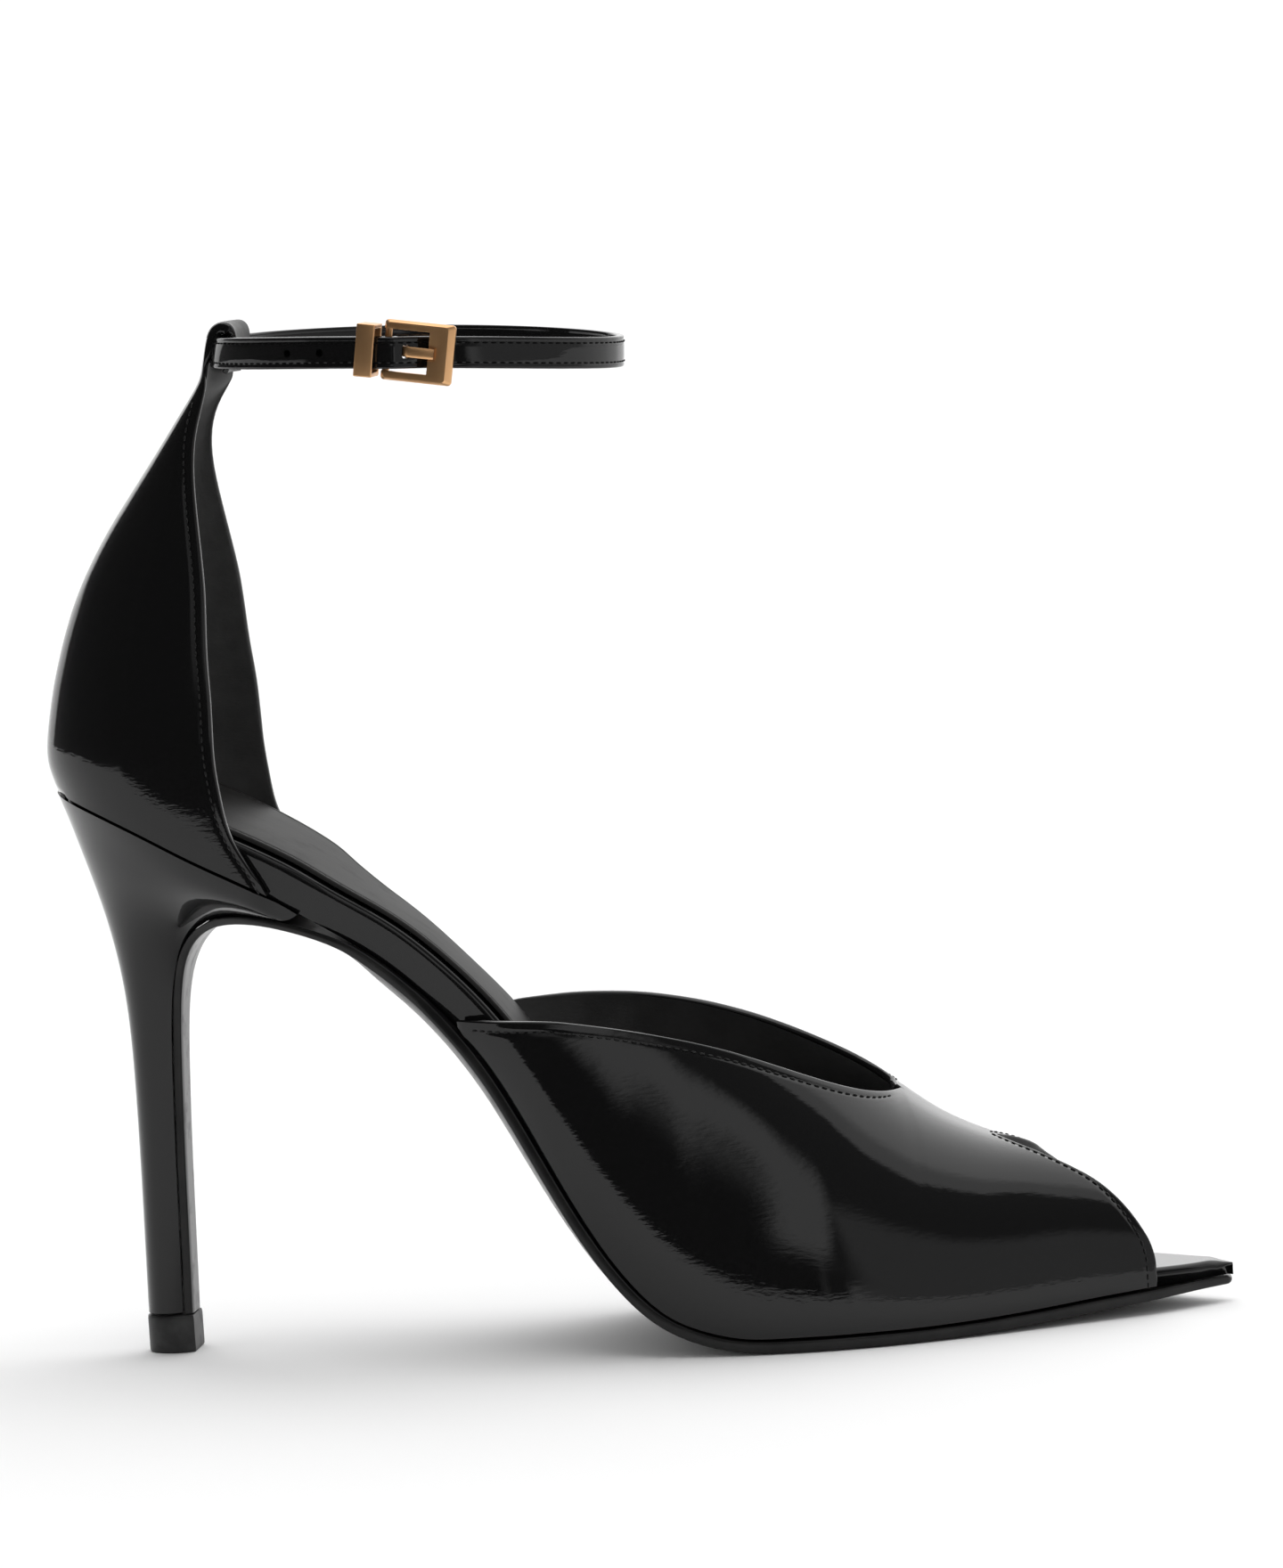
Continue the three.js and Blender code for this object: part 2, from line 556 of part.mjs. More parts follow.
// A point of the vamp's outside: turn runs from 0 at the outer feather to 180 at the inner one
function vampPoint(x, turn) {
  const side = turn <= 90 ? -1 : 1;
  const angle = ((side < 0 ? turn : 180 - turn) * Math.PI) / 180;
  const { foot, rise } = lastHeights(x);
  const crest = crestAt(x / shoeLength) * ballWidth;
  const feather = insoleEdge(x, side) + side * (vampWall + pieceGap);
  const ball = ease((x - wingStart - 8) / 48);
  const swell = lerp(wingSwell, vampSwell, ball) * Math.min(1, Math.abs(feather - crest) / (ballWidth / 3))
    * (1 - Math.exp(-angle / lerp(wingTurn, swellTurn, ball)));
  return new THREE.Vector3(x,
    crest + (feather - crest) * Math.cos(angle) ** lastFullness + side * swell * Math.cos(angle),
    foot + rise * Math.sin(angle) ** lastFullness);
}
function vampInside(x, turn) {
  const small = 0.4;
  const ahead = vampPoint(x + small, turn).sub(vampPoint(x - small, turn));
  const low = Math.max(turn - 1, 0);
  const round = vampPoint(x, Math.min(turn + 1, 180)).sub(vampPoint(x, low));
  const normal = ahead.cross(round).normalize();
  const point = vampPoint(x, turn);
  // The lower rim stands on the sole, so there the wall is measured level
  if (turn === 0 || turn === 180) return new THREE.Vector3(x, point.y + (turn ? -vampWall : vampWall), point.z);
  return point.addScaledVector(normal, -vampWall);
}
function makeVamp() {
  const throatColumn = 17;
  const columns = 24;
  const rows = 9;
  const side = (name) => {
    const sign = name === 'lateral' ? -1 : 1;
    const foot = sign < 0 ? toeFootLateral : toeFootMedial;
    const line = (i) => {
      const past = (i - throatColumn) / (columns - throatColumn);
      const top = i <= throatColumn
        ? lerp(wingStart, throatAt, (i / throatColumn) ** 0.92)
        : lerp(throatAt, toeApexAt, past);
      const under = lerp(wingStart, foot, (i / columns) ** 1.04);
      const { foot: base, rise } = lastHeights(top);
      const edge = toplineAt[name]((top - wingStart) / (throatAt - wingStart)) * vampHeight;
      const edgeHeight = Math.max(edge - base, wingTail);
      const share = Math.min(1, edgeHeight / rise);
      const topTurn = i < throatColumn ? (Math.asin(share ** (1 / lastFullness)) * 180) / Math.PI : 90;
      return steps(rows).map((s) => {
        const x = lerp(under, top, lerp(s, openingAt[name](s), ease(i / columns)));
        const turn = topTurn * s;
        return { x, turn: sign < 0 ? turn : 180 - turn };
      });
    };
    const lines = Array.from({ length: columns + 1 }, (_, i) => line(i));
    return {
      outer: lines.map((spots) => spots.map((p) => vampPoint(p.x, p.turn).toArray())),
      inner: lines.map((spots) => spots.map((p) => vampInside(p.x, p.turn).toArray())),
      rims: { low: () => true, high: (i) => i < throatColumn },
    };
  };
  const lateral = side('lateral');
  const medial = side('medial');
  const flip = (grid) => grid.map((line) => [...line].reverse());
  return shell([lateral, {
    outer: flip(medial.outer),
    inner: flip(medial.inner),
    rims: { low: medial.rims.high, high: medial.rims.low },
  }]);
}

// Tab: the counter's back strip runs up behind the strap, folds over it and comes down inside.
// forward and up are from the top of the back strip.
const tabSag = 0.8;
const tabRows = [
  { forward: 0.5, up: 1.8 }, { forward: 1, up: 4.3 }, { forward: 1.5, up: 7 }, { forward: 2.2, up: 9.4 },
  { forward: 3.2, up: 10.6 }, { forward: 4.8, up: 11.2 }, { forward: 6.5, up: 11.1 }, { forward: 7.8, up: 10.3 },
  { forward: 8.4, up: 9 }, { forward: 8.2, up: 6.6 }, { forward: 7.3, up: 3.6 }, { forward: 6.3, up: 1.4 },
  { forward: 5.5, up: 0.2 },
];
function makeCounter() {
  const turns = steps(22).map((s) => s * 2 - 1);
  const wallShares = steps(15).map((s) => s ** 0.95);
  const outer = wallShares.map((share) => turns.map((turn) => {
    let z = seatHeight;
    for (let pass = 0; pass < 6; pass += 1) z = soleHeight(counterPoint(z, turn)[0]) + pieceGap;
    return counterPoint(lerp(z, backHeight, share), turn);
  }));
  const topLine = outer[outer.length - 1];
  const crown = topLine[(turns.length - 1) / 2];
  tabRows.forEach(({ forward, up }, i) => {
    const turned = Math.min(1, 0.75 + i);
    outer.push(topLine.map(([x, y]) => [
      crown[0] + forward + lerp(x - crown[0], tabSag * (y / tabHalfWidth) ** 2, turned), y, backHeight + up,
    ]));
  });
  const inner = outer.map((line, i) => line.map((p, j) => {
    const up = new THREE.Vector3(...outer[Math.min(i + 1, outer.length - 1)][j])
      .sub(new THREE.Vector3(...outer[Math.max(i - 1, 0)][j]));
    const round = new THREE.Vector3(...line[Math.min(j + 1, line.length - 1)])
      .sub(new THREE.Vector3(...line[Math.max(j - 1, 0)]));
    const normal = round.cross(up).normalize();
    const wall = lerp(counterWall, tabWall, ease((i - 9) / 6));
    const spot = new THREE.Vector3(...p).addScaledVector(normal, wall);
    if (i === 0) spot.z = soleHeight(spot.x) + pieceGap;
    return spot.toArray();
  }));
  return shell([{ outer, inner, rims: { low: () => true, high: () => true } }]);
}

// Ankle loop in plan: an oval whose back lies in the tab. turn is in degrees from the front of the ankle,
// over the outer side (90) to the back (180); off moves outwards from the inner leather.
const tabLean = 0.2;              // forward lean of the tab and of the strap in it, per unit of height
const strapFoot = strapLevel - strapWidth / 2 - backHeight;
const loopBack = counterSection(backHeight, 0).back + 0.3 + tabLean * strapFoot + tabWall + pieceGap * 2
  + strapThickness * 1.5 + tabLean * (strapWidth / 2);
const loopMiddle = loopBack + strapLength / 2;
function loopFrame(turn, off) {
  const angle = (turn * Math.PI) / 180;
  const tangent = new THREE.Vector3(-Math.sin(angle) * (strapLength / 2), -Math.cos(angle) * (strapSpan / 2), 0);
  tangent.normalize();
  const out = new THREE.Vector3(-tangent.y, tangent.x, 0);
  const x = loopMiddle + Math.cos(angle) * (strapLength / 2);
  const y = -Math.sin(angle) * (strapSpan / 2);
  const z = strapLevel - (strapDrop * (x - loopBack)) / strapLength + strapRise * Math.sin(angle) ** 2;
  return { point: new THREE.Vector3(x, y, z).addScaledVector(out, off), tangent, out };
}
const barTurn = 92.6;             // where the buckle's rear bar sits on the loop
const barOff = 0.7;               // and how far it stands off the inner leather's middle
const turnPerLength = 360 / (Math.PI * strapLength);
const foldRound = pivotBar / 2 + pieceGap + foldThickness / 2;
const overBar = barOff + foldRound + foldThickness / 2 + pieceGap + strapThickness / 2;
const doubled = strapThickness + pieceGap;
// Route of the one strap: its pared end round the bar, back through the tab, round the ankle,
// under the front bar, over the rear bar and through the keeper into the tab
const strapRoute = [
  { turn: barTurn + 1.5, off: barOff + foldRound, thick: foldThickness, fold: true },
  ...[90, 60, 30, 0, -30, -60, -90].map((degrees) => ({
    turn: barTurn - foldRound * Math.cos((degrees * Math.PI) / 180) * turnPerLength,
    off: barOff + foldRound * Math.sin((degrees * Math.PI) / 180),
    thick: foldThickness,
    fold: true,
  })),
  { turn: barTurn + 3, off: barOff - foldRound, thick: foldThickness, fold: true },
  { turn: barTurn + 7, off: (barOff - foldRound) / 2, thick: lerp(foldThickness, strapThickness, 0.6) },
  { turn: barTurn + 11, off: 0, thick: strapThickness },
  ...[110, 120, 130, 140, 150, 158, 165, 171, 176, 180, 184, 189, 195, 202, 210, 220, 230, 240, 250, 260, 270, 280,
    290, 300, 310, 320, 328, 336, 344, 352, 360, 368, 376, 384, 392, 400, 408, 416, 423, 429, 434]
    .map((turn) => ({ turn, off: 0, thick: strapThickness })),
  { turn: 438, off: -0.1, thick: strapThickness },
  { turn: 441, off: -0.12, thick: strapThickness },
  { turn: 444.7, off: overBar * 0.36, thick: strapThickness },
  { turn: 449, off: overBar * 0.84, thick: strapThickness },
  { turn: 360 + barTurn - 1.4, off: overBar, thick: strapThickness },
  { turn: 360 + barTurn + 1, off: overBar - 0.03, thick: strapThickness },
  { turn: 360 + barTurn + 2.9, off: overBar - 0.5, thick: strapThickness },
  { turn: 360 + barTurn + 4.8, off: overBar - 1.05, thick: strapThickness },
  { turn: 360 + barTurn + 7, off: overBar - 1.45, thick: strapThickness },
  { turn: 360 + barTurn + 10.5, off: doubled + 0.1, thick: strapThickness },
  ...[107, 112, 118, 126, 134, 142, 150, 158, 165, 171, 175]
    .map((turn) => ({ turn: 360 + turn, off: doubled, thick: strapThickness })),
];
function makeStrapBody() {
  const spots = strapRoute.map((row) => loopFrame(row.turn, row.off));
  const rings = spots.map(({ point }, i) => {
    const along = spots[Math.min(i + 1, spots.length - 1)].point.clone().sub(spots[Math.max(i - 1, 0)].point);
    along.normalize();
    const { thick, fold, turn } = strapRoute[i];
    // Round the bar the strap leans with the buckle, in the tab with the tab, elsewhere it stands square
    // to the fall of the loop
    const inTab = ease((-Math.cos((turn * Math.PI) / 180) - 0.8) / 0.15);
    const upright = fold
      ? new THREE.Vector3(0, 0, -1).transformDirection(buckleMatrix)
      : new THREE.Vector3(lerp(strapDrop / strapLength, tabLean, inTab), 0, 1).normalize();
    const across = upright.clone().cross(along).normalize();
    const up = fold ? upright : along.clone().cross(across).normalize();
    const corner = (a, b) => point.clone().addScaledVector(across, a * thick * 0.5)
      .addScaledVector(up, b * strapWidth * 0.5).toArray();
    return [corner(1, 0.93), corner(0.6, 1), corner(-0.6, 1), corner(-1, 0.93),
      corner(-1, -0.93), corner(-0.6, -1), corner(0.6, -1), corner(1, -0.93)];
  });
  return loft(rings);
}

const wasm = await Module();
wasm.setup();
function solid(geometry) {
  const bare = geometry.clone();
  bare.deleteAttribute('normal');
  bare.deleteAttribute('uv');
  const merged = mergeVertices(bare, 1e-4);
  return new wasm.Manifold(new wasm.Mesh({
    numProp: 3,
    vertProperties: new Float32Array(merged.getAttribute('position').array),
    triVerts: new Uint32Array(merged.getIndex().array),
  }));
}
function geometryOf(manifold) {
  const mesh = manifold.getMesh();
  const geometry = new THREE.BufferGeometry();
  const points = Array.from(mesh.vertProperties);
  geometry.setAttribute('position', new THREE.Float32BufferAttribute(points, 3));
  geometry.setIndex(Array.from(mesh.triVerts));
  geometry.computeVertexNormals();
  return geometry;
}

// Buckle frame of reference: x forward along the strap, y outwards from the ankle, z down, leaning nose down
const buckleMatrix = (() => {
  const { point, tangent, out } = loopFrame(barTurn, barOff);
  const forward = tangent.clone().multiplyScalar(-1);
  const lean = (buckleLean * Math.PI) / 180;
  // The middle of the frame, not its rear bar, lies on the middle of the strap
  const lift = (buckleLength / 2 - pivotBar / 2) * (Math.sin(lean) - strapDrop / strapLength);
  const slope = new THREE.Matrix4().makeRotationY(-lean);
  const yaw = new THREE.Matrix4().makeRotationZ((buckleYaw * Math.PI) / 180);
  const basis = new THREE.Matrix4().makeBasis(forward, out, new THREE.Vector3(0, 0, -1));
  return new THREE.Matrix4().makeTranslation(point.x, point.y, point.z + lift)
    .multiply(basis).multiply(yaw).multiply(slope);
})();
const box = (sx, sy, sz, x, y, z) => new THREE.BoxGeometry(sx, sy, sz).translate(x, y, z);

// The frame: a plate with sloping outer edges and an open middle, its rails joined behind by a round bar
const plateBase = 0.3;
const plateFace = plateBase + buckleThickness;
function makeBuckle() {
  const rear = -pivotBar / 2;
  const front = rear + buckleLength;
  const corner = 0.7;
  const outline = (y, slope) => {
    const ends = { 1: front - frontBevel * slope, '-1': rear + railBevel * slope };
    const half = buckleHeight / 2 - railBevel * slope;
    return [[1, 1, 0], [-1, 1, 90], [-1, -1, 180], [1, -1, 270]].flatMap(([a, b, start]) => (
      [0, 30, 60, 90].map((turn) => {
        const angle = ((start + turn) * Math.PI) / 180;
        return [ends[a] - a * corner + corner * Math.cos(angle), y, b * (half - corner) + corner * Math.sin(angle)];
      })));
  };
  const plate = loft([outline(plateBase, 0), outline(plateFace - 0.9, 0), outline(plateFace, 1)]);
  const open = buckleLength - buckleBar;
  const window = box(open + 1, 4, buckleHeight - 2 * buckleRail, rear + (open - 1) / 2, plateFace, 0);
  // The front bar has a seat for the prong's tip
  const notch = box(1.6, 0.6, prongWidth + 2 * pieceGap, front - buckleBar + 0.6, plateFace, 0);
  const bar = new THREE.CylinderGeometry(pivotBar / 2, pivotBar / 2, buckleHeight - 2 * corner, 16);
  const made = solid(plate).subtract(solid(window)).subtract(solid(notch)).add(solid(bar.rotateX(Math.PI / 2)));
  return geometryOf(made).applyMatrix4(buckleMatrix);
}

function prongPath() {
  const round = pivotBar / 2 + pieceGap + prongThickness / 2;
  const eye = [200, 235, 270, 305, 340].map((degrees) => {
    const a = (degrees * Math.PI) / 180;
    return [round * Math.cos(a), round * Math.sin(a)];
  });
  const over = plateFace + prongThickness / 2;
  const inner = buckleLength - pivotBar / 2 - buckleBar;
  return [...eye, [2.1, 0.25], [2.9, 1.1], [3.6, 2.1], [4.4, over + 0.2], [6, over + 0.25], [inner + 1.1, over]];
}
function makeProng(width, thickness) {
  const path = prongPath().map(([x, y]) => new THREE.Vector3(x, y, 0));
  const rings = path.map((point, i) => {
    const along = path[Math.min(i + 1, path.length - 1)].clone().sub(path[Math.max(i - 1, 0)]).normalize();
    const across = new THREE.Vector3(0, 0, 1).cross(along);
    const corner = (a, b) => [point.x + across.x * a * thickness * 0.5, point.y + across.y * a * thickness * 0.5,
      b * width * 0.5];
    return [corner(1, 0.6), corner(0.4, 1), corner(-1, 1), corner(-1, -1), corner(0.4, -1), corner(1, -0.6)];
  });
  return loft(rings);
}

// The strap gives way to the prong: a slot in the pared end and the hole that it comes up through
function makeStrap() {
  const slot = box(5.4, 2.2 + foldThickness, prongWidth + 2 * pieceGap, -0.5, 0, 0);
  const hole = makeProng(prongWidth + 2 * pieceGap, prongThickness + 2 * pieceGap);
  const cut = solid(slot.applyMatrix4(buckleMatrix)).add(solid(hole.applyMatrix4(buckleMatrix)));
  return geometryOf(solid(makeStrapBody()).subtract(cut));
}

// The keeper stands behind the frame, square to the strap
const keeperBack = 3.6;           // its middle, behind the rear bar
const keeperOff = 0.55;           // and outwards from it
const keeperRoom = 5.5;
const keeperRise = 0.5;           // and above the middle of the strap
const keeperLean = 8.5;           // degrees nose down
function makeKeeper() {
  const { point, tangent, out } = loopFrame(barTurn, barOff);
  const ring = box(keeperLength, keeperRoom + 2 * keeperWall, keeperHeight, 0, 0, 0);
  const inside = box(keeperLength + 2, keeperRoom, keeperHeight - 2 * keeperWall, 0, 0, 0);
  const basis = new THREE.Matrix4().makeBasis(tangent.clone().multiplyScalar(-1), out, new THREE.Vector3(0, 0, -1));
  const lean = new THREE.Matrix4().makeRotationY((-keeperLean * Math.PI) / 180);
  const rise = (keeperBack * strapDrop) / strapLength + keeperRise;
  const matrix = new THREE.Matrix4().makeTranslation(point.x, point.y, point.z + rise).multiply(basis)
    .multiply(new THREE.Matrix4().makeTranslation(-keeperBack, keeperOff, 0)).multiply(lean);
  return geometryOf(solid(ring).subtract(solid(inside))).applyMatrix4(matrix);
}

const patent = new THREE.MeshStandardMaterial({ color: 0x0b0b0c, roughness: 0.12, metalness: 0 });
const lining = new THREE.MeshStandardMaterial({ color: 0x1c1b1b, roughness: 0.62, metalness: 0 });
const soleLeather = new THREE.MeshStandardMaterial({ color: 0x0d0d0d, roughness: 0.35, metalness: 0 });
const rubber = new THREE.MeshStandardMaterial({ color: 0x141414, roughness: 0.7, metalness: 0 });
const gold = new THREE.MeshStandardMaterial({ color: 0xb88a4e, roughness: 0.3, metalness: 1 });

const shoe = new THREE.Group();
[
  ['outsole', makeOutsole(), soleLeather],
  ['heel', makeHeel(), patent],
  ['top_lift', makeLift(), rubber],
  ['insole', makeInsole(), patent],
  ['sock', makeSock(), lining],
  ['vamp', makeVamp(), patent],
  ['counter', makeCounter(), patent],
  ['ankle_strap', makeStrap(), patent],
  ['keeper', makeKeeper(), gold],
  ['buckle_frame', makeBuckle(), gold],
  ['prong', makeProng(prongWidth, prongThickness).applyMatrix4(buckleMatrix), gold],
].forEach(([name, geometry, material]) => {
  const mesh = new THREE.Mesh(geometry, material);
  mesh.name = name;
  shoe.add(mesh);
});

// The origin is under the middle of the shoe, on the floor
const bounds = new THREE.Box3().setFromObject(shoe);
const middle = bounds.getCenter(new THREE.Vector3());
shoe.position.set(-middle.x, -middle.y, -bounds.min.z);

export default shoe;
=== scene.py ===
import math

import bmesh
import bpy
import numpy as np
from mathutils import Matrix


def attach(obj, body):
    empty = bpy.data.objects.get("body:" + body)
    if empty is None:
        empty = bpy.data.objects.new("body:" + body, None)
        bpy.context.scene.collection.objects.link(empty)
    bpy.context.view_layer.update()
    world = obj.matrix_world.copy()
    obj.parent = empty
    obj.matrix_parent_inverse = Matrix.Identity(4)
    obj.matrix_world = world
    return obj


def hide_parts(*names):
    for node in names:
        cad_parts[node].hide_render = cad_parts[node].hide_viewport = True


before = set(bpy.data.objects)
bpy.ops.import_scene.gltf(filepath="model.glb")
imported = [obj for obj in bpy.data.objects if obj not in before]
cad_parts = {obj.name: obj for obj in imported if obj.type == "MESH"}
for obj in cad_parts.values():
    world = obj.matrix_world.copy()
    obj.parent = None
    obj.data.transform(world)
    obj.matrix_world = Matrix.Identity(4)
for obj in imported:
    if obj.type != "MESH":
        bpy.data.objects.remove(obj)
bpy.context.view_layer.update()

# Studio: a white floor and backdrop, large soft boxes, and a long lens low on the outer side of the shoe.
# The camera is rolled a little, as in the picture, so that the toe rises.
scene = bpy.context.scene
back_point = np.array([-108.5006, 0.1571, 0.0])  # the counter's back, in row millimetres


def row_place(points):
    """Shoe millimetres, counted from the counter's back, as metres in the row frame."""
    return (np.asarray(points, float) + back_point) * 0.001


camera_spot = np.array([301.4, -1381.3, 230.0])
camera_aim = np.array([112.2, 0.0, 102.9])
camera_roll = math.radians(3.8)
forward = (camera_aim - camera_spot) / np.linalg.norm(camera_aim - camera_spot)
level_right = np.cross(forward, [0, 0, 1])
level_right /= np.linalg.norm(level_right)
level_up = np.cross(level_right, forward)
right = math.cos(camera_roll) * level_right - math.sin(camera_roll) * level_up
up = math.cos(camera_roll) * level_up + math.sin(camera_roll) * level_right
camera = bpy.data.objects.new("camera", bpy.data.cameras.new("camera"))
camera.data.sensor_width = 36
camera.data.lens = 36 * 8400 / 1760  # focal length of 8400 pixels on the long side
camera.data.clip_start, camera.data.clip_end = 0.05, 60
camera.matrix_world = Matrix([
    [right[0], up[0], -forward[0], row_place(camera_spot)[0]],
    [right[1], up[1], -forward[1], row_place(camera_spot)[1]],
    [right[2], up[2], -forward[2], row_place(camera_spot)[2]],
    [0, 0, 0, 1],
])
scene.collection.objects.link(camera)
scene.camera = camera

floor_mesh = bpy.data.meshes.new("floor")
reach, floor_front = 6.0, -0.42
floor_mesh.from_pydata([(-reach, floor_front, 0), (reach, floor_front, 0), (reach, reach, 0),
                        (-reach, reach, 0)], [], [(0, 1, 2, 3)])
floor = bpy.data.objects.new("floor", floor_mesh)
scene.collection.objects.link(floor)
paper = bpy.data.materials.new("white_paper")
paper.use_nodes = True
paper.node_tree.nodes["Principled BSDF"].inputs["Base Color"].default_value = (0.9, 0.9, 0.9, 1)
paper.node_tree.nodes["Principled BSDF"].inputs["Roughness"].default_value = 0.9
paper.node_tree.nodes["Principled BSDF"].inputs["Specular IOR Level"].default_value = 0.2
floor_mesh.materials.append(paper)

scene.view_settings.view_transform = "Standard"
world = bpy.data.worlds.new("studio")
world.use_nodes = True
scene.world = world
sky = world.node_tree


def add_node(tree, kind, sockets=None, **settings):
    made = tree.nodes.new(kind)
    for key, value in settings.items():
        setattr(made, key, value)
    for key, value in (sockets or {}).items():
        if isinstance(value, bpy.types.NodeSocket):
            tree.links.new(value, made.inputs[key])
        else:
            made.inputs[key].default_value = value
    return made


def reckon(tree, operation, *values):
    return add_node(tree, "ShaderNodeMath", dict(enumerate(values)), operation=operation).outputs[0]


toward = add_node(sky, "ShaderNodeTexCoord").outputs["Generated"]
way = add_node(sky, "ShaderNodeSeparateXYZ", {0: toward}).outputs
round_way = reckon(sky, "DEGREES", reckon(sky, "ARCTAN2", way["X"], reckon(sky, "MULTIPLY", way["Y"], -1.0)))
height_way = reckon(sky, "DEGREES", reckon(sky, "ARCSINE", way["Z"]))


def card(left, right, low, high, soft, lean):
    """Share of a flat card in the studio. Its edges are in degrees, round from the camera side and up."""
    share = None
    leaning = reckon(sky, "SUBTRACT", round_way, reckon(sky, "MULTIPLY", height_way, lean))
    for value, start, end in ((leaning, left, right), (height_way, low, high)):
        for edge, sign in ((start, 1.0), (end, -1.0)):
            step = add_node(sky, "ShaderNodeMapRange", {
                "Value": reckon(sky, "MULTIPLY", reckon(sky, "SUBTRACT", value, float(edge)), sign),
                "From Min": -float(soft), "From Max": float(soft)}, interpolation_type="SMOOTHSTEP").outputs[0]
            share = step if share is None else reckon(sky, "MULTIPLY", share, step)
    return share


# What stands round the shoe, the nearer one last: left, right, low and high edge, brightness, how soft the
# edge is, and how far it leans over with height.
studio_cards = (
    (-400, -140, 8, 100, 1.6, 8, 0.0),   # bright wall behind the heel
    (100, 400, 8, 100, 1.6, 8, 0.0),     # bright wall beyond the toe
    (-400, 400, 66, 100, 2.0, 2, 0.0),   # soft box overhead, its front edge the bright patch on the vamp
    (-52, 12, -100, 68, 0.02, 2, 0.0),   # black card at the camera, the band down the vamp
    (-136, -50, 12, 66, 0.02, 2, 0.0),   # black card on the left, the dark of the counter
    (-128, -48, -7, 16, 0.02, 2, 0.0),
    (-24, 4, 24, 66, 0.4, 8, 0.5),       # dim light inside the band
    (12, 78, 2, 68, 0.1, 3, 0.0),        # dark card on the right, under the bright patch
    (12, 22, -100, 6, 0.05, 2, 0.0),
    (26, 95, -100, 27, 0.5, 4, 0.0),     # grey card low on the right, the streak along the toe
    (0, 12, 10, 62, 1.0, 4, 0.5))        # narrow strip light beside the band
mirrored = None
for *edges, tone, soft, lean in studio_cards:
    base = 1.0 if mirrored is None else mirrored
    gap = reckon(sky, "SUBTRACT", float(tone), base)
    mirrored = reckon(sky, "ADD", base, reckon(sky, "MULTIPLY", gap, card(*edges, soft, lean)))
light_path = add_node(sky, "ShaderNodeLightPath").outputs
backdrop, spread_light = 1.12, 1.32
glossy = reckon(sky, "MULTIPLY", light_path["Is Glossy Ray"], reckon(sky, "SUBTRACT", mirrored, backdrop))
spread = reckon(sky, "SUBTRACT", reckon(sky, "MULTIPLY", mirrored, spread_light), backdrop)
level = reckon(sky, "ADD", reckon(sky, "ADD", glossy, backdrop),
               reckon(sky, "MULTIPLY", light_path["Is Diffuse Ray"], spread))
sky.links.new(level, sky.nodes["Background"].inputs["Strength"])
sky.nodes["Background"].inputs["Color"].default_value = (1, 1, 1, 1)

# Outsole: black leather, its edge inked and polished, its underside swelling at the waist and flat at the
# tread. It is glued under the insole and runs down the front of the heel as a thin flap.
shoe_length, ball_width, seat_width, seat_height = 217, 68, 52, 108.4
toe_spring, piece_gap = 2.6, 0.3
outsole_edge, tread_depth, waist_crown, outsole_margin, flap_thickness = 2.1, 0.5, 2.2, 0.6, 1.5
counter_front, wing_start, toe_foot_lateral, vamp_wall, counter_wall = 44.2, 78.6, 203.4, 1.5, 1.6
back_height, tab_half_width, stem_width, lift_height = 183, 6, 10.4, 7.1


def table(names, *rows):
    """A short table as one array per named column."""
    return {name: np.array(column, float) for name, column in zip(names.split(), zip(*rows))}


def even(at, value, to):
    """Even rise through the rows of a table: no overshoot, so a level stretch stays level."""
    rise = np.diff(value) / np.diff(at)
    slope = np.concatenate([rise[:1], np.zeros(len(rise) - 1), rise[-1:]])
    same_way = rise[:-1] * rise[1:] > 0
    slope[1:-1][same_way] = (2 * rise[:-1] * rise[1:])[same_way] / (rise[:-1] + rise[1:])[same_way]
    i = np.clip(np.searchsorted(at, to, side="right") - 1, 0, len(rise) - 1)
    span = at[i + 1] - at[i]
    t = np.clip((to - at[i]) / span, 0, 1)
    u = 1 - t
    return (value[i] * u * u * (1 + 2 * t) + value[i + 1] * t * t * (3 - 2 * t)
            + span * t * u * (slope[i] * u - slope[i + 1] * t))


def blur(value, spread):
    """Softens a row of values over a spread counted in samples, and keeps both ends."""
    side = int(3 * spread) + 1
    weight = np.exp(-0.5 * (np.arange(-side, side + 1) / spread) ** 2)
    low = 2 * value[0] - value[side:0:-1]
    high = 2 * value[-1] - value[-2:-side - 2:-1]
    return np.convolve(np.concatenate([low, value, high]), weight / weight.sum(), "valid")


def track(rows, key, column, soften=0.012):
    """A curve through a table, softened over a share of its length, as polished leather shows every kink."""
    fine = np.linspace(rows[key][0], rows[key][-1], 1600)
    value = blur(even(rows[key], rows[column], fine), soften * 1600)
    return lambda a: np.interp(a, fine, value)


def ease(t):
    c = np.clip(t, 0, 1)
    return c * c * (3 - 2 * c)


def lerp(a, b, t):
    return a + (b - a) * t


sole_rows = table(
    "along drop spring",
    (0.006, 1.0, 0), (0.046, 0.97, 0), (0.092, 0.927, 0), (0.138, 0.876, 0), (0.203, 0.807, 0),
    (0.249, 0.747, 0), (0.295, 0.687, 0), (0.336, 0.612, 0), (0.378, 0.516, 0), (0.406, 0.423, 0), (0.431, 0.326, 0),
    (0.456, 0.231, 0), (0.486, 0.137, 0), (0.528, 0.047, 0), (0.567, 0.014, 0), (0.604, 0, 0), (0.735, 0, 0),
    (0.806, 0, 0.16), (0.876, 0, 0.54), (0.94, 0, 0.88), (1, 0, 1))
drop_at, spring_at = track(sole_rows, "along", "drop"), track(sole_rows, "along", "spring")
forefoot_level = outsole_edge + tread_depth


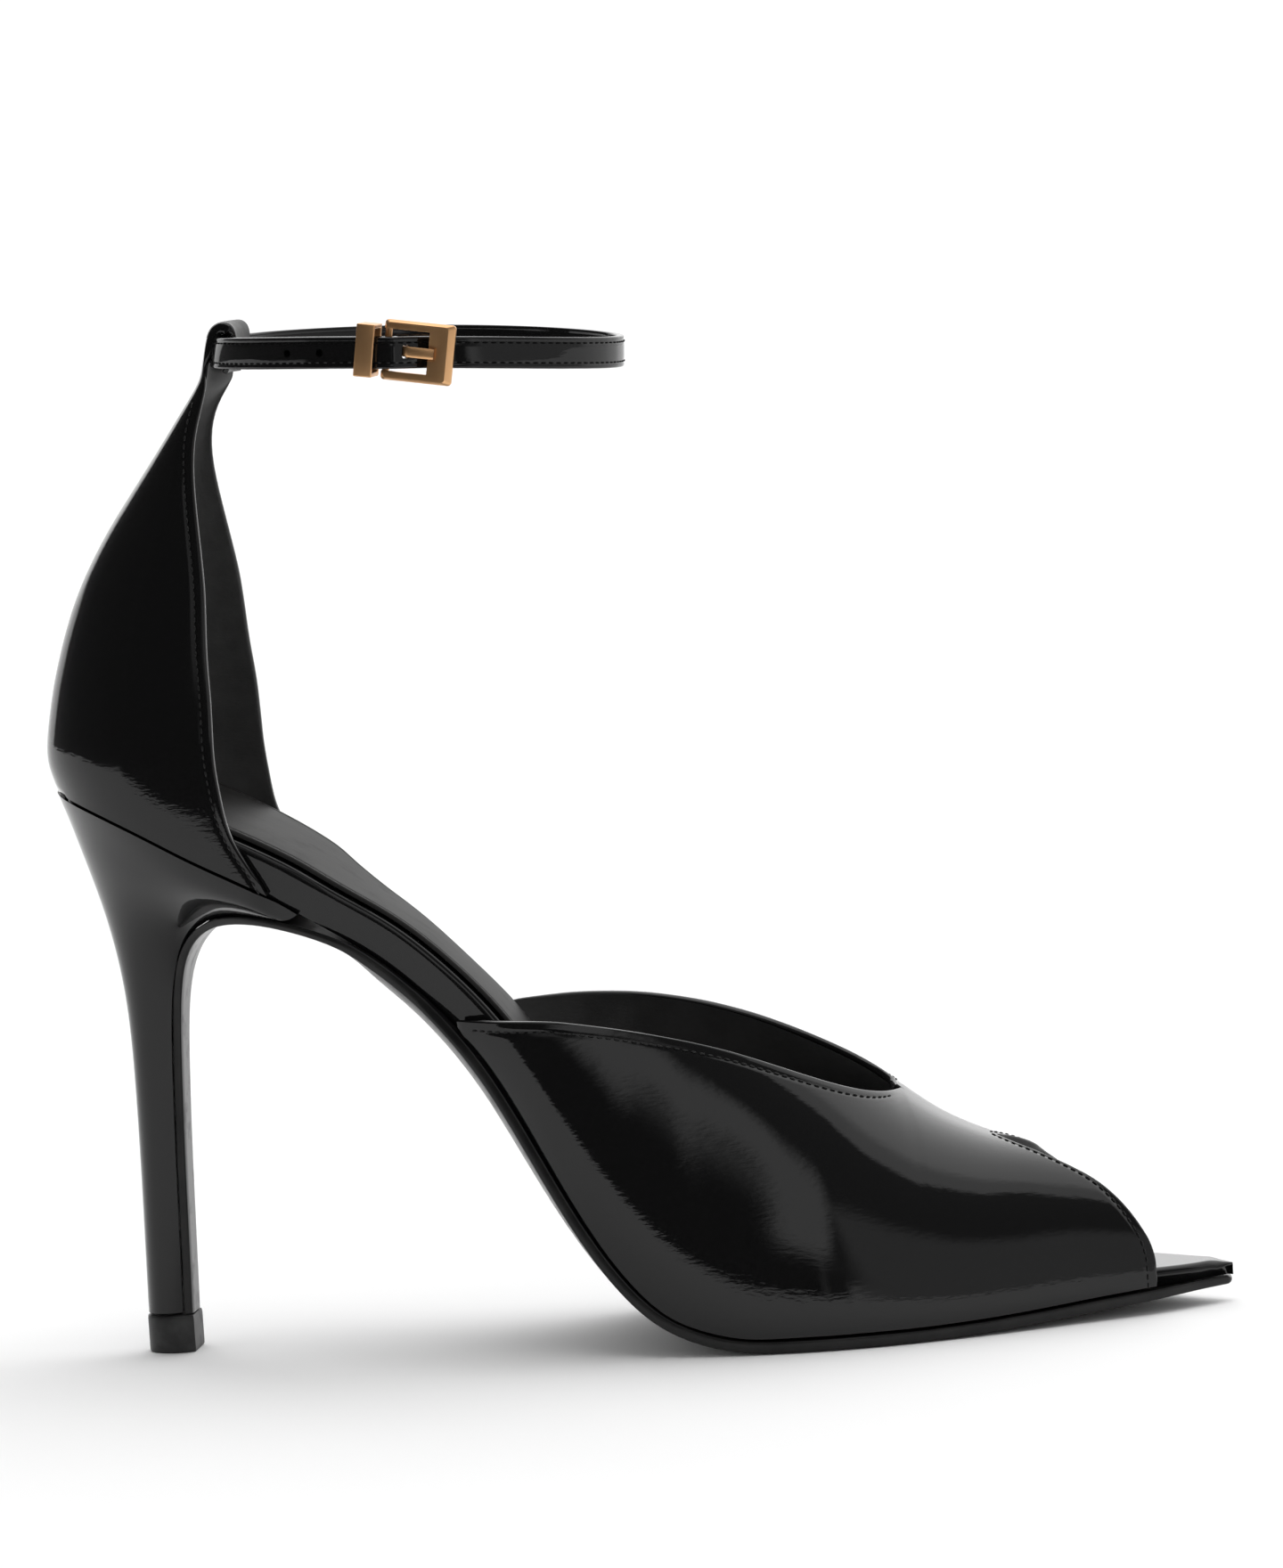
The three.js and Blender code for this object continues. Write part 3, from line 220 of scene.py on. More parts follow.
def sole_height(x):
    """Top face of the outsole."""
    return (forefoot_level + (seat_height - forefoot_level) * drop_at(x / shoe_length)
            + toe_spring * spring_at(x / shoe_length))


def upright(x):
    """Upright of a cross-section: it leans back at the heel and is square to the sole from the waist on."""
    slope = sole_height(x + 0.5) - sole_height(x - 0.5)
    seat_front = counter_front / shoe_length
    lean = lerp(-0.22, -slope, ease((x / shoe_length - 0.02) / (seat_front - 0.02)))
    size = np.hypot(lean, 1)
    return lean / size, 1 / size


def place(x, y, height):
    lean, rise = upright(x)
    return np.stack(np.broadcast_arrays(x + lean * height, y, sole_height(x) + rise * height), -1)


plan_rows = table(
    "along lateral medial",
    (0.203, -0.345, 0.345), (0.23, -0.345, 0.292), (0.276, -0.343, 0.23), (0.332, -0.347, 0.2),
    (0.387, -0.374, 0.205), (0.442, -0.415, 0.255), (0.498, -0.456, 0.338), (0.553, -0.488, 0.412),
    (0.608, -0.5, 0.466), (0.664, -0.485, 0.495), (0.719, -0.442, 0.48), (0.774, -0.374, 0.436),
    (0.829, -0.288, 0.362), (0.885, -0.191, 0.268), (0.935, -0.11, 0.184), (0.968, -0.045, 0.118),
    (0.986, 0.002, 0.08), (0.995, 0.025, 0.06), (1, 0.04, 0.046))
lateral_at = track(plan_rows, "along", "lateral", 0.006)
medial_at = track(plan_rows, "along", "medial", 0.006)
counter_rows = table(
    "level back front half",
    (0.45, 0.24, 1.04, 0.93), (0.484, 0.19, 1.0, 0.955), (0.519, 0.124, 0.912, 0.97),
    (0.552, 0.077, 0.851, 0.985), (0.59, 0.042, 0.828, 1.0), (0.623, 0, 0.814, 1.0),
    (0.678, 0.032, 0.812, 0.946), (0.732, 0.09, 0.799, 0.854), (0.787, 0.174, 0.796, 0.738),
    (0.842, 0.299, 0.776, 0.6), (0.896, 0.457, 0.753, 0.454), (0.929, 0.559, 0.747, 0.369),
    (0.962, 0.656, 0.769, 0.31), (0.986, 0.728, 0.81, 0.28), (1, 0.772, 0.82, 0.27))
roundness = 2.2
back_at = track(counter_rows, "level", "back", 0.02)
front_at = track(counter_rows, "level", "front", 0.02)
half_at = track(counter_rows, "level", "half", 0.02)


def counter_section(z, inset=0):
    level = z / back_height
    half = np.maximum(half_at(level), tab_half_width * 2 / seat_width) * seat_width / 2
    return back_at(level) * counter_front + inset, front_at(level) * counter_front, half - inset


def seat_half(x, inset, height=0):
    spot = place(x, 0, height)
    back, front, half = counter_section(spot[..., 2], inset)
    share = np.clip((spot[..., 0] - back) / (front - back), 0, 1)
    return half * (1 - (1 - share) ** roundness) ** (1 / roundness)


def insole_edge(x, side, height=0):
    """Signed edge of the insole: inside the counter at the seat, the plan of the last in front of it."""
    plan = (lateral_at if side < 0 else medial_at)(x / shoe_length) * ball_width
    seat = side * seat_half(x, counter_wall + piece_gap * 1.8, height)
    return lerp(seat, plan, ease((x - counter_front) / 7))


def wall_around(x):
    """How far the outside of the upper stands off the insole: a step at the vamp's wing."""
    return (vamp_wall + piece_gap) * ease((x - wing_start + 8) / 9) * (1 - ease((x - toe_foot_lateral - 1) / 6))


foot_level = (lift_height + piece_gap) / seat_height
heel_rows = table(
    "along level back rear half face stem",
    (0.0872, foot_level, 0.0522, foot_level, 0.49, 0.395, 1), (0.0887, 0.18, 0.0532, 0.19, 0.5, 0.4, 1),
    (0.0905, 0.34, 0.0548, 0.34, 0.51, 0.405, 1), (0.0935, 0.5, 0.0552, 0.485, 0.53, 0.42, 1),
    (0.0965, 0.6, 0.054, 0.585, 0.58, 0.46, 1), (0.1015, 0.665, 0.0508, 0.655, 0.67, 0.56, 1),
    (0.111, 0.716, 0.0465, 0.71, 0.81, 0.74, 0.97), (0.129, 0.753, 0.041, 0.765, 1.06, 1.02, 0.84),
    (0.153, 0.771, 0.0335, 0.823, 1.42, 1.38, 0.6), (0.18, 0.773, 0.0245, 0.884, 1.84, 1.75, 0.34),
    (0.212, 0.764, 0.0155, 0.945, 2.22, 2.08, 0.12))
breast_count = len(heel_rows["along"])
sole_stations = np.array([
    0.262, 0.285, 0.307, 0.33, 0.352, 0.374, 0.395, 0.415, 0.434, 0.453, 0.471, 0.489, 0.508, 0.528, 0.552,
    0.578, 0.604, 0.64, 0.68, 0.72, 0.76, 0.8, 0.84, 0.875, 0.908, 0.935, 0.958, 0.975, 0.986, 0.9945]) * shoe_length


def along_rows(values, rows, spread=0.5):
    """Row values followed by a running row number, softened over a spread of rows."""
    at = np.arange(len(values))
    fine = np.linspace(0, at[-1], 24 * at[-1] + 1)
    return np.interp(rows, fine, blur(even(at, np.asarray(values, float), fine), spread * 24))


sole_under = place(sole_stations, 0, -piece_gap)
path_x = np.concatenate([heel_rows["along"] * shoe_length, sole_under[:, 0]])
path_z = np.concatenate([heel_rows["level"] * seat_height, sole_under[:, 2]])


def path_frame(rows):
    """The leather's path down the sole and the breast: its points, and the way to its underside."""
    x, z = along_rows(path_x, rows), along_rows(path_z, rows)
    step = 0.05
    ahead, behind = np.minimum(rows + step, len(path_x) - 1), np.maximum(rows - step, 0)
    dx = along_rows(path_x, ahead) - along_rows(path_x, behind)
    dz = along_rows(path_z, ahead) - along_rows(path_z, behind)
    size = np.hypot(dx, dz)
    return x, z, dz / size, -dx / size


def grid_faces(rows, columns, wrap=False):
    i, j = np.meshgrid(np.arange(rows - 1), np.arange(columns if wrap else columns - 1), indexing="ij")
    i, j = i.ravel(), j.ravel()
    k = (j + 1) % columns
    row, next_row = i * columns, (i + 1) * columns
    return np.stack([row + j, row + k, next_row + k, next_row + j], 1).tolist()


def piece(name, parts, materials, sharp=38):
    """One mesh from parts of (points in shoe millimetres, faces, material number), joined where they meet."""
    points, faces, numbers, start = [], [], [], 0
    for spots, part_faces, number in parts:
        spots = np.asarray(spots, float).reshape(-1, 3)
        points.append(spots)
        faces += [[start + v for v in face] for face in part_faces]
        numbers += [number] * len(part_faces)
        start += len(spots)
    mesh = bpy.data.meshes.new(name)
    mesh.from_pydata(row_place(np.concatenate(points)).tolist(), [], faces)
    for material in materials:
        mesh.materials.append(material)
    mesh.polygons.foreach_set("material_index", numbers)
    shape = bmesh.new()
    shape.from_mesh(mesh)
    bmesh.ops.remove_doubles(shape, verts=shape.verts, dist=3e-6)
    bmesh.ops.dissolve_degenerate(shape, dist=1e-7, edges=shape.edges)
    bmesh.ops.recalc_face_normals(shape, faces=shape.faces)
    shape.to_mesh(mesh)
    shape.free()
    mesh.polygons.foreach_set("use_smooth", [True] * len(mesh.polygons))
    mesh.set_sharp_from_angle(angle=math.radians(sharp))
    made = bpy.data.objects.new(name, mesh)
    scene.collection.objects.link(made)
    return made


def loft(rings, number=0):
    """Rings of equal count joined into one closed part, each end closed flat."""
    rings = np.asarray(rings, float)
    count = rings.shape[1]
    last = (len(rings) - 1) * count
    faces = grid_faces(len(rings), count, wrap=True)
    faces += [list(range(count)), list(range(last, last + count))]
    return rings, faces, number


def dress(made, node):
    """The piece stands for a solid of the frame: it is attached to the root and that solid is hidden."""
    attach(made, "root")
    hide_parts(node)
    return made


def new_material(name, **sockets):
    """A material whose constant values sit on the shader's own sockets."""
    made = bpy.data.materials.new(name)
    made.use_nodes = True
    shader = made.node_tree.nodes["Principled BSDF"]
    for socket, value in sockets.items():
        shader.inputs[socket.replace("_", " ")].default_value = value
    return made


def new_group(name, numbers, outputs):
    """An empty shader group with named number inputs and named outputs."""
    tree = bpy.data.node_groups.new(name, "ShaderNodeTree")
    for label, value in numbers.items():
        socket = tree.interface.new_socket(label, in_out="INPUT", socket_type="NodeSocketFloat")
        socket.default_value = value
    for label, kind in outputs.items():
        tree.interface.new_socket(label, in_out="OUTPUT", socket_type=kind)
    return tree, tree.nodes.new("NodeGroupInput"), tree.nodes.new("NodeGroupOutput")


# Unevenness of a finished skin: a slow wave left by the last under it, a finer one of the skin's own
# fibres, and rub marks that dull the gloss. Sizes are in metres.
skin, skin_in, skin_out = new_group(
    "skin", {"Wave size": 0.012, "Wave depth": 0.00002, "Fibre size": 0.0008, "Fibre depth": 0.000002,
             "Gloss": 0.08, "Rub": 0.1},
    {"Normal": "NodeSocketVector", "Roughness": "NodeSocketFloat", "Rubbed": "NodeSocketFloat"})
spot = add_node(skin, "ShaderNodeTexCoord").outputs["Object"]


def skin_noise(size_socket, detail, stretch=(1, 1, 1)):
    scale = add_node(skin, "ShaderNodeMath", {0: 1.0, 1: skin_in.outputs[size_socket]}, operation="DIVIDE")
    spread = add_node(skin, "ShaderNodeMapping", {"Vector": spot, "Scale": stretch})
    return add_node(skin, "ShaderNodeTexNoise", {
        "Vector": spread.outputs["Vector"], "Scale": scale.outputs[0], "Detail": detail, "Roughness": 0.5})


wave, fibre = skin_noise("Wave size", 2.0), skin_noise("Fibre size", 3.0, (0.5, 0.5, 1.6))
wave_bump = add_node(skin, "ShaderNodeBump", {
    "Height": wave.outputs["Fac"], "Distance": skin_in.outputs["Wave depth"], "Strength": 1.0})
fibre_bump = add_node(skin, "ShaderNodeBump", {
    "Height": fibre.outputs["Fac"], "Distance": skin_in.outputs["Fibre depth"], "Strength": 1.0,
    "Normal": wave_bump.outputs["Normal"]})
rub_noise = add_node(skin, "ShaderNodeTexNoise", {
    "Vector": spot, "Scale": 160.0, "Detail": 6.0, "Roughness": 0.65})
rub = add_node(skin, "ShaderNodeMapRange", {
    "Value": rub_noise.outputs["Fac"], "From Min": 0.52, "From Max": 0.78, "To Min": 0.0, "To Max": 1.0})
rub_share = add_node(skin, "ShaderNodeMath", {0: rub.outputs[0], 1: skin_in.outputs["Rub"]}, operation="MULTIPLY")
dulled = add_node(skin, "ShaderNodeMath", {0: rub_share.outputs[0], 1: skin_in.outputs["Gloss"]}, operation="ADD")
skin.links.new(fibre_bump.outputs["Normal"], skin_out.inputs["Normal"])
skin.links.new(dulled.outputs[0], skin_out.inputs["Roughness"])
skin.links.new(rub.outputs[0], skin_out.inputs["Rubbed"])


def add_skin(material, coated=False, **numbers):
    """Places the skin group in a material with its own values; a coated skin shows them in its coat."""
    tree = material.node_tree
    shader = tree.nodes["Principled BSDF"]
    made = add_node(tree, "ShaderNodeGroup", node_tree=skin)
    for key, value in numbers.items():
        made.inputs[key.replace("_", " ")].default_value = value
    tree.links.new(made.outputs["Normal"], shader.inputs["Normal"])
    if coated:
        tree.links.new(made.outputs["Normal"], shader.inputs["Coat Normal"])
    tree.links.new(made.outputs["Roughness"], shader.inputs["Coat Roughness" if coated else "Roughness"])


def mottle(material, low, high, size):
    """Base colour that drifts between two tones over patches of a size in metres."""
    tree = material.node_tree
    spots = add_node(tree, "ShaderNodeTexCoord").outputs["Object"]
    noise = add_node(tree, "ShaderNodeTexNoise", {"Vector": spots, "Scale": 1 / size, "Detail": 4.0})
    ramp = add_node(tree, "ShaderNodeValToRGB", {"Fac": noise.outputs["Fac"]})
    ramp.color_ramp.elements[0].position, ramp.color_ramp.elements[1].position = 0.35, 0.7
    ramp.color_ramp.elements[0].color, ramp.color_ramp.elements[1].color = (*low, 1), (*high, 1)
    tree.links.new(ramp.outputs["Color"], tree.nodes["Principled BSDF"].inputs["Base Color"])


sole_leather = new_material("sole_leather", Specular_IOR_Level=0.2, Coat_Weight=0.25, Coat_Roughness=0.2,
                            Coat_IOR=1.4)
add_skin(sole_leather, Wave_size=0.02, Wave_depth=0.00003, Fibre_size=0.0006, Fibre_depth=0.000006,
         Gloss=0.28, Rub=0.25)
mottle(sole_leather, (0.004, 0.004, 0.0042), (0.01, 0.0098, 0.0095), 0.006)

crown_shares = np.sin(np.linspace(-math.pi / 2, math.pi / 2, 41))
edge_rounding = ((0.0, 0.12), (0.08, 0.02), (0.2, 0.0), (0.45, 0.0), (0.68, 0.05), (0.84, 0.16), (0.95, 0.32))
# Past the last section the edge closes round the tip: how far each ring is pinched in, set ahead and thinned
sole_tip = ((0.12, 0.35, 0.1), (0.32, 0.65, 0.35), (0.6, 0.85, 0.7))
station_x = path_x[breast_count:]
station_along = station_x / shoe_length
waist_share = ease((station_along - 0.25) / 0.06) * (1 - ease((station_along - 0.42) / 0.16))
toe_share = ease((station_along - 0.88) / 0.12)
breast = np.ones(breast_count)
edge_rows = np.concatenate([breast * flap_thickness, lerp(
    flap_thickness, outsole_edge, ease((station_along - 0.24) / 0.06)) * (1 - 0.25 * toe_share)])
swell_rows = np.concatenate([breast * 0.15, lerp(
    tread_depth * (1 - 0.6 * toe_share) - piece_gap, waist_crown, waist_share)])
low_rows = np.concatenate([-heel_rows["face"] * stem_width,
                           insole_edge(station_x, -1) - wall_around(station_x) - outsole_margin])
high_rows = np.concatenate([heel_rows["face"] * stem_width,
                            insole_edge(station_x, 1) + wall_around(station_x) + outsole_margin])
sole_count = len(path_x) - 1
sole_runs = np.concatenate([np.linspace(0, breast_count - 1, 90, endpoint=False),
                            np.linspace(breast_count - 1, sole_count, 190)])
x, z, out_x, out_z = path_frame(sole_runs)
low, high = along_rows(low_rows, sole_runs, 0.35), along_rows(high_rows, sole_runs, 0.35)
depth, swell = along_rows(edge_rows, sole_runs), along_rows(swell_rows, sole_runs)


def sole_ring(k, pinch=0.0, ahead=0.0, thin=0.0):
    middle, half = (low[k] + high[k]) / 2, (high[k] - low[k]) / 2 * (1 - pinch)

    def at(y, down):
        down = lerp(down, depth[k] / 2, thin)
        return [x[k] + ahead + out_x[k] * down, y, z[k] + out_z[k] * down]
    ring = [at(middle + half * s, 0) for s in (0.96, 0.5, 0, -0.5, -0.96)]
    ring += [at(middle - half + inset, depth[k] * share) for share, inset in edge_rounding]
    for share in crown_shares:
        past = max(0, (abs(share) - 0.6) / 0.4)
        ring.append(at(middle + (half - 0.5) * share, depth[k] + swell[k] * (1 - past * past)))
    ring += [at(middle + half - inset, depth[k] * share) for share, inset in reversed(edge_rounding)]
    return ring


rings = [sole_ring(k) for k in range(len(sole_runs))]
rings += [sole_ring(-1, *last) for last in sole_tip]
outsole = piece("outsole_leather", [loft(rings)], [sole_leather])
dress(outsole, "outsole")

# Heel: a moulded stiletto covered in the same patent skin, flat in front where the sole's flap lies,
# rounded behind, and flared out under the counter.
heel_rim, heel_lip, foot_bevel, foot_lift = 0.2, 3.5, 0.06, 0.25
stem_turn = math.radians(125)
heel_patent = new_material("heel_patent", Base_Color=(0.001, 0.001, 0.0011, 1), Specular_IOR_Level=0.05,
                           Coat_Weight=1.0, Coat_IOR=1.42)
add_skin(heel_patent, True, Wave_size=0.02, Wave_depth=0.00002, Fibre_size=0.001, Fibre_depth=0.00001,
         Gloss=0.03, Rub=0.05)


def stem_ring(rows, steps=40):
    """Outline of the heel at a running row number: first the outer side from behind, then the inner one."""
    share = np.linspace(0, 1, steps + 1)
    x, z, out_x, out_z = path_frame(rows)
    front_x, front_z = x - out_x * piece_gap, z - out_z * piece_gap
    back_x, back_z, half, stem = (along_rows(heel_rows[name], rows) for name in ("back", "rear", "half", "stem"))
    seat_reach = 1 - np.cos(share * math.pi / 2)
    stem_reach = (1 - np.cos(stem_turn * share)) / (1 - math.cos(stem_turn))
    reach = lerp(seat_reach, stem_reach, stem)
    seat_wide = (1 - (1 - np.minimum(1, seat_reach * 1.12)) ** roundness) ** (1 / roundness)
    wide = lerp(seat_wide, np.sin(stem_turn * share), stem)
    side = np.stack([lerp(back_x * shoe_length, front_x, reach), half * stem_width * wide,
                     lerp(back_z * seat_height, front_z, reach)], 1)
    return np.concatenate([side * (1, -1, 1), side[:0:-1]])


def seat_ring(steps=40):
    """Top outline of the heel, just past the counter's lower edge."""
    start = counter_section(seat_height)[0] - heel_rim
    lip = heel_rows["along"][-1] * shoe_length + heel_lip
    x = lerp(start, lip, 1 - np.cos(np.linspace(0, 1, steps + 1) * math.pi / 2))
    z = sole_height(x) - piece_gap / upright(x)[1]

    def side(sign):
        wide = np.abs(lerp(sign * (seat_half(x + heel_rim * 0.5, 0) + heel_rim),
                           insole_edge(x, sign) + sign * 0.2, ease((x - counter_front + 3) / 6)))
        wide[0] = 0
        return np.stack([x, sign * wide, z], 1)
    return np.concatenate([side(-1), side(1)[:0:-1]])


heel_sections = np.array([stem_ring(float(row)) for row in range(breast_count)] + [seat_ring()])
heel_runs = np.concatenate([np.linspace(0, 4, 24, endpoint=False), np.linspace(4, breast_count, 70)])
heel_grid = np.stack([
    np.stack([along_rows(heel_sections[:, i, k], heel_runs, 0.4) for k in range(3)], -1)
    for i in range(heel_sections.shape[1])], 1)
foot_middle = heel_grid[:1].mean(1, keepdims=True)
heel_points = np.concatenate([lerp(heel_grid[:1], foot_middle, foot_bevel), heel_grid])
heel_points[1] += (0, 0, foot_lift)
count = heel_points.shape[1]
heel_faces = grid_faces(len(heel_points), count, wrap=True)
for start in (0, (len(heel_points) - 1) * count):
    for i in range((count - 1) // 2):
        heel_faces.append([start + i, start + i + 1, start + count - i - 1, start + (count - i) % count])
heel = piece("heel_cover", [(heel_points, heel_faces, 0)], [heel_patent])
dress(heel, "heel")

# Top lift: the black rubber walking piece, pinned to the heel's foot and scoured to its outline.
lift_margin, lift_bevel = 0.25, 0.4
lift_rubber = new_material("lift_rubber", Specular_IOR_Level=0.35)
add_skin(lift_rubber, Wave_size=0.004, Wave_depth=0.00001, Fibre_size=0.0004, Fibre_depth=0.00001,
         Gloss=0.42, Rub=0.25)
mottle(lift_rubber, (0.012, 0.012, 0.012), (0.03, 0.03, 0.03), 0.003)
foot_half = heel_rows["half"][0] * stem_width
foot_front = path_frame(np.array(0.0))[0] + flap_thickness
foot_back = heel_rows["back"][0] * shoe_length - lift_margin


def lift_ring(height, inset, steps=30):
    turn = stem_turn * np.linspace(0, 1, steps + 1)
    reach = (1 - np.cos(turn)) / (1 - math.cos(stem_turn))
    side = np.stack([lerp(foot_back + inset, foot_front + lift_margin - inset, reach),
                     (foot_half + lift_margin - inset) * np.sin(turn), np.full(steps + 1, float(height))], 1)
    return np.concatenate([side * (1, -1, 1), side[:0:-1]])


lift_profile = [(0, lift_bevel), (0.1, 0.15), (0.35, 0.02), (0.8, 0), (3, 0), (lift_height - 0.8, 0),
                (lift_height - 0.3, 0.05), (lift_height - 0.08, 0.15), (lift_height, 0.35)]
lift = piece("rubber_lift", [loft([lift_ring(*row) for row in lift_profile])], [lift_rubber])
dress(lift, "top_lift")

# Insole: a moulded board wrapped in patent skin; its rounded edge shows as a band along the waist and
# its glossy top under the open toe.
waist_board, toe_board, board_round, toe_fall, inner_dip = 7.1, 3.9, 1.5, 1.8, 4.4
side_lean, tip_round, tip_fall = 0.95, 1.3, 0.3


def board_at(x):
    return lerp(waist_board, toe_board, ease((x / shoe_length - 0.4) / 0.5))


insole_patent = new_material("insole_patent", Base_Color=(0.001, 0.001, 0.0011, 1), Specular_IOR_Level=0.05,
                             Coat_Weight=1.0, Coat_IOR=1.42)
add_skin(insole_patent, True, Wave_size=0.014, Wave_depth=0.00002, Fibre_size=0.001, Fibre_depth=0.00001,
         Gloss=0.035, Rub=0.05)
insole_shares = np.concatenate([0.02 + 0.03 * np.linspace(0, 1, 14, endpoint=False) ** 1.6,
                                np.linspace(0.05, 0.94, 150, endpoint=False), np.linspace(0.94, 1, 34)])
corner = np.linspace(0, math.pi / 2, 8)


def dip_at(x):
    """How far the insole's top lies lower along the inner edge than along the outer one."""
    along = x / shoe_length
    return inner_dip * ease((along - 0.12) / 0.24) * (1 - ease((along - 0.52) / 0.2))


def insole_ring(x):
    along = x / shoe_length
    top = board_at(x) - toe_fall * (ease((along - 0.88) / 0.1) + ease((along - 0.978) / 0.022)) / 2
    edges = [insole_edge(x, side) for side in (-1, 1)]
    tops = [insole_edge(x, -1, top), insole_edge(x, 1, top - dip_at(x))]
    bend = min(board_round, (edges[1] - edges[0]) * 0.3)
    lean = side_lean * ease((x - counter_front) / 7)
    middle = sum(edges) / 2
    nose = math.sqrt(1 - tip_fall * max(0, (x - shoe_length + tip_round) / tip_round) ** 2)

    def at(y, down, share=0.0):
        high = top - dip_at(x) * (y - edges[0]) / (edges[1] - edges[0])
        height = lerp(high, -0.2, share) - down
        return place(x, y, top / 2 + (height - top / 2) * (nose if height > top / 2 else 1))
    half_ring = []
    for side, edge, edge_top in ((1, edges[1], tops[1]), (-1, edges[0], tops[0])):
        foot = edge - side * lean
        run = [at(foot - side * bend * 0.2, 0, 1), at(foot, -0.5, 1)]
        run += [at(lerp(foot, edge_top, 1 - s), lerp(bend, -0.5, s), s) for s in (0.94, 0.8, 0.5, 0.2, 0.05)]
        run += [at(edge_top - side * bend * (1 - math.cos(a)), bend * (1 - math.sin(a))) for a in corner]
        run += [at(lerp(edge_top - side * bend, middle, s), 0) for s in (0.08, 0.3, 0.6)]
        half_ring.append(run)
    return half_ring[0] + [at(middle, 0)] + half_ring[1][::-1] + [at(middle, 0, 1)]


insole_rings = [insole_ring(x) for x in insole_shares * shoe_length]
insole = piece("insole_board", [loft(insole_rings)], [insole_patent], 50)
dress(insole, "insole")

# Sock: a thin padded leather pad glued on the insole, its edge pared round and sewn down with a row of
# stitches along both sides. Its top is plain.
sock_thickness, sock_crown, sock_inset, sock_end, sock_nose = 1.0, 0.4, 1.1, 186, 16
sock_leather = new_material("sock_leather", Specular_IOR_Level=0.035, Coat_Weight=0.0)
add_skin(sock_leather, Wave_size=0.009, Wave_depth=0.00006, Fibre_size=0.0005, Fibre_depth=0.00002,
         Gloss=0.42, Rub=0.05)
mottle(sock_leather, (0.015, 0.0147, 0.0145), (0.02, 0.0195, 0.019), 0.01)
sock_runs = np.concatenate([np.linspace(0.026, 0.8, 120, endpoint=False) * shoe_length,
                            sock_end - sock_nose * 0.78 * (1 - np.sin(np.linspace(0, math.pi / 2, 26)))])
sock_runs = np.unique(np.clip(sock_runs, 0, sock_end - 0.01))
sock_shares = np.sin(np.linspace(-1, 1, 45) * math.pi / 2)
sock_seam_in = 2.0
seam_offsets = np.array([0.1, 0.4, 0.8, 1.3, 1.6, 1.8, 2.0, 2.2, 2.4, 2.7, 3.2])


def sock_bed(x):
    """Middle and half width of the sock at a place along the shoe, and how much its end is rounded there."""
    end = np.sqrt(np.maximum(0.003, 1 - np.maximum(0, (x - sock_end + sock_nose) / sock_nose) ** 2))
    level = board_at(x) + piece_gap
    low, high = insole_edge(x, -1, level), insole_edge(x, 1, level - dip_at(x))
    return (low + high) / 2, np.maximum(0.4, ((high - low) / 2 - sock_inset) * end), end


def sock_spot(x, y, under=False):
    """A point of the sock's top or underside: y is a share of its half width."""
    middle, half, end = sock_bed(x)
    low, high = insole_edge(x, -1), insole_edge(x, 1)
    level = board_at(x) + piece_gap - dip_at(x) * (middle + half * y - low) / (high - low)
    if under:
        return place(x, middle + half * y, level)
    from_edge = half * (1 - np.abs(y))
    rounding = np.sqrt(1 - (1 - np.clip(from_edge / 0.8, 0, 1)) ** 2)
    seam = 0.16 * np.exp(-((from_edge - sock_seam_in) / 0.45) ** 2)
    height = level + sock_thickness * (0.25 + 0.75 * rounding) + sock_crown * (1 - y * y) * end - seam
    return place(x, middle + half * y, height)


def sock_ring(x):
    near_edge = 1 - seam_offsets / sock_bed(x)[1].clip(6)
    fine = np.unique(np.concatenate([sock_shares, near_edge, -near_edge]))
    return [*sock_spot(x, fine), sock_spot(x, 0.5, True), sock_spot(x, 0.0, True), sock_spot(x, -0.5, True)]


sock = piece("sock_pad", [loft([sock_ring(x) for x in sock_runs])], [sock_leather], 50)
dress(sock, "sock")

# Vamp: one skin of patent leather pulled over the last and lined, its topline and toe opening folded and
# sewn. It is lasted between insole and sole.
throat_at, toe_apex_at, toe_foot_medial = 158, 174.3, 197
vamp_height, ridge_height, wing_tail = 62.7, 43.1, 1.2
wing_swell, vamp_swell, wing_turn, swell_turn = 3.9, 0.35, 0.19, 0.03
last_rows = table(
    "along ridge crest",
    (0.36, 2.42, -0.01), (0.42, 2.26, 0), (0.484, 2.02, 0.01), (0.553, 1.72, 0.02), (0.622, 1.42, 0.028),
    (0.682, 1.18, 0.03), (0.728, 0.985, 0.03), (0.76, 0.873, 0.03), (0.803, 0.776, 0.034), (0.845, 0.716, 0.038),
    (0.889, 0.638, 0.04), (0.937, 0.52, 0.042))
topline_rows = table(
    "share lateral medial",
    (0, 1.008, 0.972), (0.1, 1.002, 0.983), (0.2, 0.999, 0.988), (0.32, 0.975, 0.98), (0.46, 0.935, 0.953),
    (0.6, 0.883, 0.906), (0.7, 0.833, 0.86), (0.8, 0.778, 0.806), (0.88, 0.735, 0.76), (0.95, 0.702, 0.715),
    (1, 0.687, 0.687))
opening_rows = table(
    "climb lateral medial",
    (0, 0, 0), (0.14, 0, 0.04), (0.28, 0.027, 0.14), (0.39, 0.078, 0.25), (0.55, 0.185, 0.46),
    (0.7, 0.35, 0.67), (0.78, 0.51, 0.72), (0.86, 0.7, 0.81), (0.94, 0.88, 0.93), (1, 1, 1))
ridge_at, crest_at = track(last_rows, "along", "ridge"), track(last_rows, "along", "crest")
fullness = 2 / 2.2


def last_heights(x):
    foot = sole_height(x) + piece_gap
    return foot, ridge_at(x / shoe_length) * ridge_height - foot


